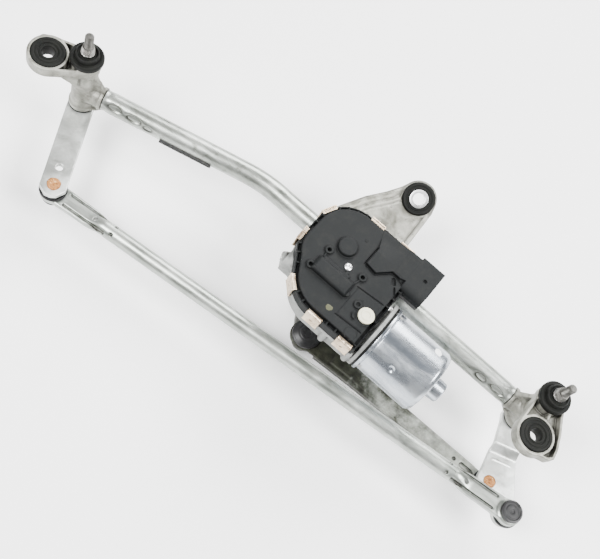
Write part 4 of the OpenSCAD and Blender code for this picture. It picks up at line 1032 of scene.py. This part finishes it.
# ---------------------------------------------------------------- crank
def crank_shape(x, y, z):
    """x runs from the motor's output shaft to the ball."""
    flat = polygon(x, y, belt(13, CRANK_LEN, 9.5))
    d = slab(flat, z, -36, -30, 0.8)
    hub = disc(x, y, z, 0, 0, 11, -36, -22, 1.0)
    d = union(d, hub, k=2.0)
    d = cut(d, beam(x, y, z, 19, 0, CRANK_LEN - 16, 0, 3.2, -31.2, -20, 0.5), k=0.8)
    return cut(d, disc(x, y, z, 0, 0, 6.04, -60, 0, 0), disc(x, y, z, CRANK_LEN, 0, 3.52, -60, 0, 0))


carve("motor_crank", crank_shape, (-15, -15, -37), (CRANK_LEN + 12, 15, -21), 0.55,
      move(SHAFT[0], SHAFT[1]) @ turn("z", CRANK_ANGLE), M["crank"], "crank", ["crank_arm"])


def nut_shape(x, y, z):
    flat = np.maximum(np.abs(y), np.maximum(np.abs(x * 0.866 + y * 0.5),
            np.abs(x * 0.866 - y * 0.5))) - 7.45
    cone = (np.hypot(x, y) - 8.9 + np.abs(z + 39) * 0.55 + 0.2) * 0.87
    d = np.maximum(slab(flat, z, -42, -36.05, 0.3), cone)
    return cut(d, disc(x, y, z, 0, 0, 4.02, -60, 0, 0), k=0.4)


carve("crank_nut_hex", nut_shape, (-10, -10, -43), (10, 10, -35.5), 0.4, MOTOR, M["screw"], "crank",
      ["crank_nut"])

# ---------------------------------------------------------------- gearbox
OUTLINE = arc(0, 6, 36.5, 90, 180, 30) + arc(-5.5, -15, 31, 180, 224, 14) + arc(14, -30, 39.5, 212, 270,
        20) + \
    [(64, -69.5), (64, 42.5)]
CLIPS = [(-31.3, 19.3, 157), (-34.2, -15.6, 182), (-12.2, -56.2, 225), (19.3, -67, 270), (52.8, -67, 270),
         (7.8, 40.5, 90), (41.8, 40.5, 90)]
FEET = [(-20, TUBE_SIDE - 17.5), (44, TUBE_SIDE - 17.5), (12, TUBE_SIDE + 17.5)]


def at_arm(x, y, z):
    """Distance from the armature's axis, and the place along it."""
    return np.hypot(y - ARMATURE_Y, z - ARMATURE_Z), x


def edge_walk(spacing, skip):
    """Points with inward directions along the outline, a fixed distance apart, away from the clips."""
    out, carry = [], spacing / 2
    for (ax, ay), (bx, by) in zip(OUTLINE, OUTLINE[1:] + OUTLINE[:1]):
        length = math.hypot(bx - ax, by - ay)
        if length < 1e-6:
            continue
        while carry < length:
            t = carry / length
            x, y = ax + (bx - ax) * t, ay + (by - ay) * t
            nx, ny = -(by - ay) / length, (bx - ax) / length
            if all(math.hypot(x - c[0], y - c[1]) > skip for c in CLIPS):
                out.append((x, y, nx, ny))
            carry += spacing
        carry -= length
    return out


RIBS = edge_walk(9.5, 9.2)


def cover_shape(x, y, z):
    """The skirt stands from 58 to 66.4 over the lever plane, and the top plate is at 72."""
    flat = polygon(x, y, OUTLINE)
    d = slab(flat + 0.8, z, 58, 66.4, 0.5)
    d = union(d, slab(flat + 4.6, z, 60, 72, 0.7), k=0.5)
    lip = np.maximum(flat + 0.8, -(flat + 2.0))
    d = union(d, slab(lip, z, 60, 69.2, 0.3))
    ribs = None
    for px, py, nx, ny in RIBS:
        b = bar(x, y, px + nx * 1.4, py + ny * 1.4, px + nx * 5, py + ny * 5, 0.75)
        ribs = b if ribs is None else np.minimum(ribs, b)
    d = union(d, slab(ribs, z, 62, 70.0, 0.3), k=0.3)
    # connector block, and the plateau that fades out towards the round end
    section = [(8.4, 52), (4.2, 64)] + arc(11.2, 68, 7.0, 180, 90, 8) + [(42.4, 75), (42.4, 52)]
    block = np.maximum(polygon(y, z, section), np.maximum(58.6 - x, x - 82))
    block = np.maximum(block, np.minimum(58 - z, 64.4 - x)) - 0.1
    d = union(d, block, brick(x, y, z, 46, 62, 12, 39.6, 58, 74.6, 0.8), k=0.5)
    edge = [(22.1, 19.8), (22.1, -0.3), (34.4, -2.0), (45.2, 10.1), (52.3, 9.9), (57.6, 7.6)]
    plateau = [(16, 39.0)] + edge[:-1] + [(58, 12), (82, 12), (82, 42.1), (58.6, 42.1), (58.4, 39.4)]
    top = 74.6 - 2.6 * np.clip((y - 16) / 16, 0, 1) * np.clip((46 - x) / 20, 0, 1)
    rise = polygon(x, y, plateau)
    rise = np.maximum(np.maximum(rise, z - top), 70 - z)
    d = union(d, rise, k=1.0)
    line = np.full(np.broadcast(x, y).shape, 1e3)
    for (ax, ay), (bx, by) in zip(edge, edge[1:]):
        line = np.minimum(line, bar(x, y, ax, ay, bx, by, 0.6))
    d = cut(d, slab(line, z, 71.0, 80, 0.1), k=0.5)
    # round boss, block, small bosses
    d = union(d, disc(x, y, z, 1.3, 0, 9.0, 70, 76, 1.5), k=1.0)
    box = brick(x, y, z, -11, 27.2, -39.3, -24, 68, 77.2, 3.5)
    d = union(d, box, brick(x, y, z, -8, 20, -24.5, -20.6, 70, 74, 0.8), k=0.8)
    d = union(d, disc(x, y, z, 27.6, -35.5, 2.4, 70, 74.2, 0.6),
              disc(x, y, z, 16, -19.5, 1.8, 70, 73.4, 0.6), k=0.4)
    for bx, by in ((-8.8, -14), (-12.4, -36.5), (28.5, -13.3), (40.6, -36)):
        d = union(d, disc(x, y, z, bx, by, 3.9, 70, 74.2, 0.6), k=0.6)
        d = cut(d, disc(x, y, z, bx, by, 1.9, 70.0, 80, 0.2), k=0.3)
    for ax, ay, bx, by in ((-9, -18, -8, -24), (28, -17, 26, -24), (40, -33, 41, -30)):
        d = union(d, beam(x, y, z, ax, ay, bx, by, 0.8, 70, 73.2, 0.4), k=0.4)
    d = union(d, disc(x, y, z, *PLUG, 9.2, 70, 73.0, 0.6), k=0.5)
    d = union(d, slab(np.maximum(circle(x, y, 45.0, -45.2, 3.9), x + y + 2.4), z, 70, 74.4, 0.8), k=0.5)
    ring = np.abs(circle(x, y, 51.6, -60.4, 5.8)) - 0.4
    d = union(d, slab(ring, z, 71, 72.4, 0.2), disc(x, y, z, 10, 17.9, 1.4, 71, 72.5, 0.2), k=0.2)
    # steps and grooves of the top plate
    d = cut(d, beam(x, y, z, 30.8, -55.9, 57.5, -54, 0.6, 71.0, 80, 0.1),
            beam(x, y, z, 30.4, -22.5, 57, -19.6, 0.6, 71.0, 80, 0.1), k=0.3)
    panel = polygon(x, y, [(31, -55), (57.2, -53.2), (57.2, -20.6), (31, -22.6)])
    d = union(d, slab(panel + 0.5, z, 70, 72.5, 0.4), k=0.2)
    for y0, y1 in ((-64.6, -52.6), (-48.8, -36.8), (-32.8, -19.6)):
        d = cut(d, brick(x, y, z, 59.2, 62.2, y0, y1, 66, 80, 0.2), k=0.2)
    d = cut(d, beam(x, y, z, 50.0, 6.4, 52.6, 3.0, 1.7, 70.2, 80, 0.2),
            beam(x, y, z, 55.2, 0.4, 60.0, -6.4, 0.7, 70.4, 80, 0.2),
            beam(x, y, z, 60.0, -6.4, 61.4, -15.5, 0.7, 70.4, 80, 0.2), k=0.3)
    d = cut(d, disc(x, y, z, 71.9, 23.9, 1.7, 73.2, 80, 0.3), k=0.4)
    # notches for the clips
    for cx, cy, deg in CLIPS:
        p, q = turned(x - cx, y - cy, deg)
        d = cut(d, brick(p, q, z, -1.0, 9, -7.9, 7.9, 67.3, 90, 0.0), k=0.2)
    # room for the can's flange, hollow underneath, plug seat, rivet, connector socket
    near, along = at_arm(x, y, z)
    d = cut(d, np.maximum(near - 33.8, np.abs(along - 70) - 4.2))
    d = cut(d, slab(flat + 5.8, z, 40, 69.0, 0.4), disc(x, y, z, *PLUG, 5.05, 60, 80, 0),
            disc(x, y, z, *RIVET, 2.05, 60, 80, 0))
    return cut(d, brick(x, y, z, 56, 100, 8, 38.5, 55, 69, 0.5))


carve("gear_cover_moulding", cover_shape, (-41.5, -74, 51), (83.2, 44.5, 78.2), (0.55, 0.55, 0.45), MOTOR,
      M["cover"],
      "frame", ["gear_cover"])


def gearcase_shape(x, y, z):
    """The bowl's underside is at 38 over the lever plane, and its rim at 57.4."""
    flat = polygon(x, y, OUTLINE)
    d = slab(flat + 3.0, z, 38, 57.4, 0.8)
    d = union(d, slab(flat + 0.8, z, 54, 57.45, 0.5), k=0.8)
    near, along = at_arm(x, y, z)
    d = union(d, disc(x, y, z, 0, 0, 10, 12, 39, 0.8), k=3.0)
    for deg in range(0, 360, 60):
        p, q = turned(x, y, deg)
        d = union(d, np.maximum(np.abs(q) - 1.0, polygon(p, z,
                [(8, 22), (10, 22), (27, 37), (27, 40), (8, 40)])) - 0.2, k=1.0)
    channel = np.maximum(near - 11.4, np.abs(along - 16) - 49)
    swell = np.maximum(np.maximum(near - 25, np.abs(along - 48) - 17.9), z - 57.4)
    d = union(d, channel, k=2.5)
    d = union(d, swell, k=2.0)
    d = union(d, np.maximum(near - 33, np.abs(along - 67.7) - 1.7), k=0.8)
    for px, py in ((35.8, -66.6), (62, -66.4)):
        d = union(d, disc(x, y, z, px, py, 3.2, 39, 56, 0.8), k=1.2)
    stub = beam(x, y, z, -29, -29, -35.5, -33.5, 3.4, 44, 50.5, 1.0)
    peg = beam(x, y, z, -36.2, -33.5, -32.6, -40.6, 2.0, 42, 52.5, 0.8)
    d = union(d, union(stub, peg, k=0.8), k=1.6)
    d = cut(d, disc(x, y, z, 0, 0, 31, 40.5, 80, 0), slab(flat + 5.4, z, 53, 80, 0),
            disc(x, y, z, 0, 0, 8.02, 0, 60, 0))
    d = cut(d, np.maximum(near - 9, -30 - along), np.maximum(near - 3, along + 20))
    for px, py in FEET:
        d = cut(d, disc(x, y, z, px, py, 3.05, 30, 40.6, 0))
    return d


carve("gear_case_casting", gearcase_shape, (-42, -74.5, 11), (73.5, 44.5, 80.5), 0.65, MOTOR,
      M["cast_dark"], "frame", ["gear_housing"])


def clip_shape(x, y, z):
    """x runs outwards across the cover's edge."""
    side = brick(x, y, z, 2.2, 3.4, -7.5, 7.5, 52.6, 68.6, 0.25)
    top = brick(x, y, z, -0.6, 3.4, -7.5, 7.5, 67.45, 68.6, 0.25)
    hook = brick(x, y, z, 0.2, 3.4, -7.5, 7.5, 52.6, 53.8, 0.25)
    d = union(side, top, hook, k=1.0)
    window = np.maximum(np.hypot(y * 0.7, z - 60.0) - 0.9, np.abs(x - 3) - 3)
    return cut(d, window, k=0.2)


clip_points, clip_quads, clip_shade = surface(clip_shape, (-1.4, -8.2, 52), (4.2, 8.2, 69.2), 0.35)
points, faces = merged([(clip_points, clip_quads.tolist(), MOTOR @ move(cx, cy) @ turn("z", deg)) for cx,
                        cy, deg in CLIPS])
piece("cover_spring_clips", points, faces, np.eye(4), M["clip"], "frame", ["cover_clips"],
      None, np.tile(clip_shade, len(CLIPS)))

plug = [(0, 68.4), (4.9, 68.4), (4.95, 73.35, 0.1), (7.3, 73.42), (7.45, 75.4, 0.7), (5.2, 76.0),
        (4.8, 76.6), (3.4, 76.6), (3.0, 75.9), (0, 75.8)]
turned_piece("vent_plug", plug, MOTOR @ move(*PLUG), M["cream"], "frame", ["breather_plug"],
             0.3)
rivet = [(0, 69.6), (1.9, 69.6), (1.95, 72.05, 0.1), (3.6, 72.1, 0.2), (3.5, 73.4, 0.5), (2.4, 74.0),
         (1.7, 73.6), (0, 73.0)]
turned_piece("cover_hollow_rivet", rivet, MOTOR @ move(*RIVET), M["sleeve"], "frame", ["cover_rivet"],
             0.3)

# ---------------------------------------------------------------- motor can
def can_warp(r, z, a):
    # two shallow pressed dimples in the wall
    at, size, depth = 97.3, 2.6, 1.3
    for deg in (230, 50):
        da = (math.degrees(a) - deg + 180) % 360 - 180
        d = math.hypot(z - at, math.radians(da) * CAN_R)
        if r > 20 and d < size * 2:
            r = r - depth / (1 + math.exp((d - size) * 3))
    return r, z


wall = [(CAN_R, z, 0) for z in np.linspace(79.6, 126.2, 60)]
can = [(29.2, 71.6), (33.0, 71.6, 0.5), (33.0, 74.4, 0.5), (31.2, 74.6, 0.1), (30.6, 75.0, 0.2),
       (31.0, 75.9, 0.4)] + wall + \
    [(31.0, 129.4, 3.4), (28.6, 133.0, 2.0), (23.5, 134.2, 2.5), (12.2, 134.6, 1.6), (10.1, 136.2, 1.0),
     (9.6, 145.2, 1.4), (8.0, 146.4, 0.8),
     (3.0, 146.2, 0.3), (2.6, 145.6, 0.3), (0, 145.5), (0, 144.6), (7.4, 144.6, 0.2), (7.4, 132.2, 0.2),
     (24, 132.2, 3.0), (29.2, 127, 3.0)]
points, faces = lathe(eased(can, 0.4), 180, can_warp)
piece("motor_can_steel", points, faces, ARMATURE, M["can"], "frame", ["motor_can"], 0.7)
ridges = [(29.4, 69.5), (32.3, 69.5), (32.5, 70.0), (32.1, 70.5), (32.5, 71.0), (32.2, 71.5), (29.4, 71.5)]
turned_piece("can_lip_seal", ridges, ARMATURE, M["rubber"], "frame", ["can_seal"], 0.2, 144)


def paint(name, surface_at, where, mat, wide, long, n=40):
    """A thin irregular drop of paint; surface_at(s, t, up) is a point up above the surface it lies on."""
    points, faces, rings = [], [], 7
    for k in range(rings + 1):
        for i in range(n):
            a, f = 2 * math.pi * i / n, (k + 1) / (rings + 1)
            r = f * (1 + 0.09 * math.sin(2 * a + 1) + 0.07 * math.sin(3 * a) + 0.04 * math.sin(7 * a + 2))
            points.append(surface_at(r * wide * math.cos(a), r * long * math.sin(a),
                    0.02 + 0.16 * (1 - f ** 4)))
    for k in range(rings):
        for i in range(n):
            j = (i + 1) % n
            faces.append([k * n + i, k * n + j, (k + 1) * n + j, (k + 1) * n + i])
    base = len(points)
    points += [surface_at(0, 0, 0.18), surface_at(0, 0, -0.3)]
    for i in range(n):
        j = (i + 1) % n
        faces.append([base, j, i])
        faces.append([base + 1, rings * n + i, rings * n + j])
    return piece(name, points, faces, where, mat, "frame", (), 0.9)


def on_can(s, t, up):
    a = math.radians(151.5) + t / CAN_R
    return ((CAN_R + up) * math.cos(a), (CAN_R + up) * math.sin(a), 119 + s)


paint("can_paint_mark", on_can, ARMATURE, M["white_paint"], 3.2, 4.6)
def on_cover(s, t, up):
    return (23.7 + s, -55.4 + t, 72.0 + up)


paint("cover_paint_mark", on_cover, MOTOR, M["olive_paint"], 2.9, 2.9)

# ---------------------------------------------------------------- motor bracket
def bracket_shape(x, y, z):
    # x, y, z are in the plain frame; p, q in the motor's; u, v, w at the centre mount
    p, q = turned(x - SHAFT[0], y - SHAFT[1], HEADING)
    c, s = cos_sin(TILT)
    dx, dy, dz = x - CENTRE[0], y - CENTRE[1], z - CENTRE[2]
    u, v, w = dx, dy * c + dz * s, -dy * s + dz * c
    saddle = np.maximum(np.hypot(q - TUBE_SIDE, z - TUBE_Z) - 14, np.abs(p - 14) - 40)
    saddle = np.maximum(saddle, z - 37.4)
    # the arm rises from the saddle to the ring
    t = np.clip((q - 28) / 62, 0, 1)
    top = 38.0 + 9.0 * t
    left_edge = [(248, 44), (254, 54), (266, 73), (280, 90), (290, 106)]
    right_edge = [(325, 99), (323, 57), (322, 44)]
    plan = polygon(x, y, left_edge + [(322, 107)] + right_edge)
    plate = np.maximum(plan, np.abs(z - top + 3.2) - 2.0)
    plate = union(plate, np.maximum(np.maximum(plan, -(plan + 3.0)), np.maximum(z - top, top - 12 - z)),
                  k=1.5)

    def ridge(line, inset, r):
        out = np.full(np.broadcast(x, y).shape, 1e3)
        for (ax, ay), (bx, by) in zip(line, line[1:]):
            length = math.hypot(bx - ax, by - ay)
            nx, ny = (by - ay) / length * inset, -(bx - ax) / length * inset
            out = np.minimum(out, bar(x, y, ax + nx, ay + ny, bx + nx, by + ny, 0))
        return np.hypot(out, z - top + 0.6) - r

    ring = np.maximum(np.hypot(u, v) - 16.2, np.abs(w) - 3.0)
    collar = np.maximum(np.hypot(u, v) - 17.2, np.abs(w + 3.8) - 1.2)
    d = union(saddle, plate, k=5.0)
    d = union(d, ridge(left_edge, 2.2, 2.6), k=3.5)
    d = union(d, ridge(left_edge, 8.4, 1.7), k=4.5)
    d = union(d, ridge(right_edge, 2.0, 1.5), k=2.5)
    d = union(d, collar, k=3.0)
    d = union(d, ring, k=2.5)
    for px, py in FEET:
        foot = disc(p, q, z, px, py, 6.5, 30, 37.95, 0.5)
        reach = beam(p, q, z, px, py, px, TUBE_SIDE, 5, 30, 37.95, 0.5)
        d = union(d, union(foot, reach, k=1.0), k=2.0)
    over = np.maximum(37.9 - z, polygon(p, q, OUTLINE) - 0.6)
    d = cut(d, over, k=0.2)
    d = cut(d, np.maximum(np.hypot(q - TUBE_SIDE, z - TUBE_Z) - 10.05, np.abs(p) - 200))
    d = cut(d, np.maximum(np.hypot(u, v) - 12.55, np.abs(w) - 40),
            np.maximum(np.hypot(u, v) - MOUNT_SEAT, np.abs(w - 20) - 18),
            np.maximum(np.hypot(u, v) - MOUNT_SEAT, np.abs(w + 20) - 18))
    for px, py in FEET:
        d = cut(d, disc(p, q, z, px, py, 3.25, 0, 70, 0), disc(p, q, z, px, py, 6.7, 0, 30, 0))
    return cut(d, disc(p, q, z, 0, 0, 10.5, 0, 70, 0))


carve("motor_bracket_casting", bracket_shape, (242, -2, 10), (346, 126, 66), 0.7, np.eye(4), M["cast"],
      "frame", ["motor_bracket"])

# ---------------------------------------------------------------- floor, light, camera
FLOOR_GAP = 0.002
low = min(corner[2] for corner in size_before) - FLOOR_GAP
floor_mesh = bpy.data.meshes.new("floor")
floor_mesh.from_pydata([(-4, -4, low), (5, -4, low), (5, 5, low), (-4, 5, low)], [], [[0, 1, 2, 3]])
floor = bpy.data.objects.new("floor", floor_mesh)
bpy.context.scene.collection.objects.link(floor)
g = Graph("pale_floor")
g.bsdf.inputs["Emission Color"].default_value = (1, 1, 1, 1)
g.bsdf.inputs["Emission Strength"].default_value = 0.16
floor_mesh.materials.append(g.finish(g.mix(g.noise(3, 2), (0.90, 0.90, 0.90), (0.93, 0.93, 0.93)), 0.0,
        0.8))

world = bpy.data.worlds.new("studio")
bpy.context.scene.world = world
world.use_nodes = True
world.node_tree.nodes["Background"].inputs["Color"].default_value = (1, 1, 1, 1)
world.node_tree.nodes["Background"].inputs["Strength"].default_value = 0.3


def lamp(name, at, aim, size, power):
    data = bpy.data.lights.new(name, "AREA")
    data.size, data.energy = size, power
    ob = bpy.data.objects.new(name, data)
    bpy.context.scene.collection.objects.link(ob)
    ob.location = at
    ob.rotation_euler = (Vector(aim) - Vector(at)).to_track_quat("-Z", "Y").to_euler()


centre = (0.29, -0.02, 0.0)
lamp("key_softbox", (-0.7, -1.1, 1.9), centre, 1.0, 150)
lamp("right_softbox", (1.6, 0.1, 1.6), centre, 1.0, 95)
lamp("rear_softbox", (0.2, 1.7, 1.3), centre, 1.2, 95)

camera = bpy.data.cameras.new("camera")
camera.sensor_width, camera.lens, camera.clip_start = 36.0, 57.0, 0.01
view = bpy.data.objects.new("camera", camera)
bpy.context.scene.collection.objects.link(view)
right, up = Vector((0.809, 0.524, 0.269)).normalized(), Vector((-0.588, 0.722, 0.365))
back = right.cross(up).normalized()
up = back.cross(right).normalized()
eye = Vector(HOME) + Vector((0.2590, -0.4139, 0.7863))
view.matrix_world = Matrix((
    (right.x, up.x, back.x, eye.x), (right.y, up.y, back.y, eye.y), (right.z, up.z, back.z, eye.z),
    (0, 0, 0, 1)))
bpy.context.scene.camera = view
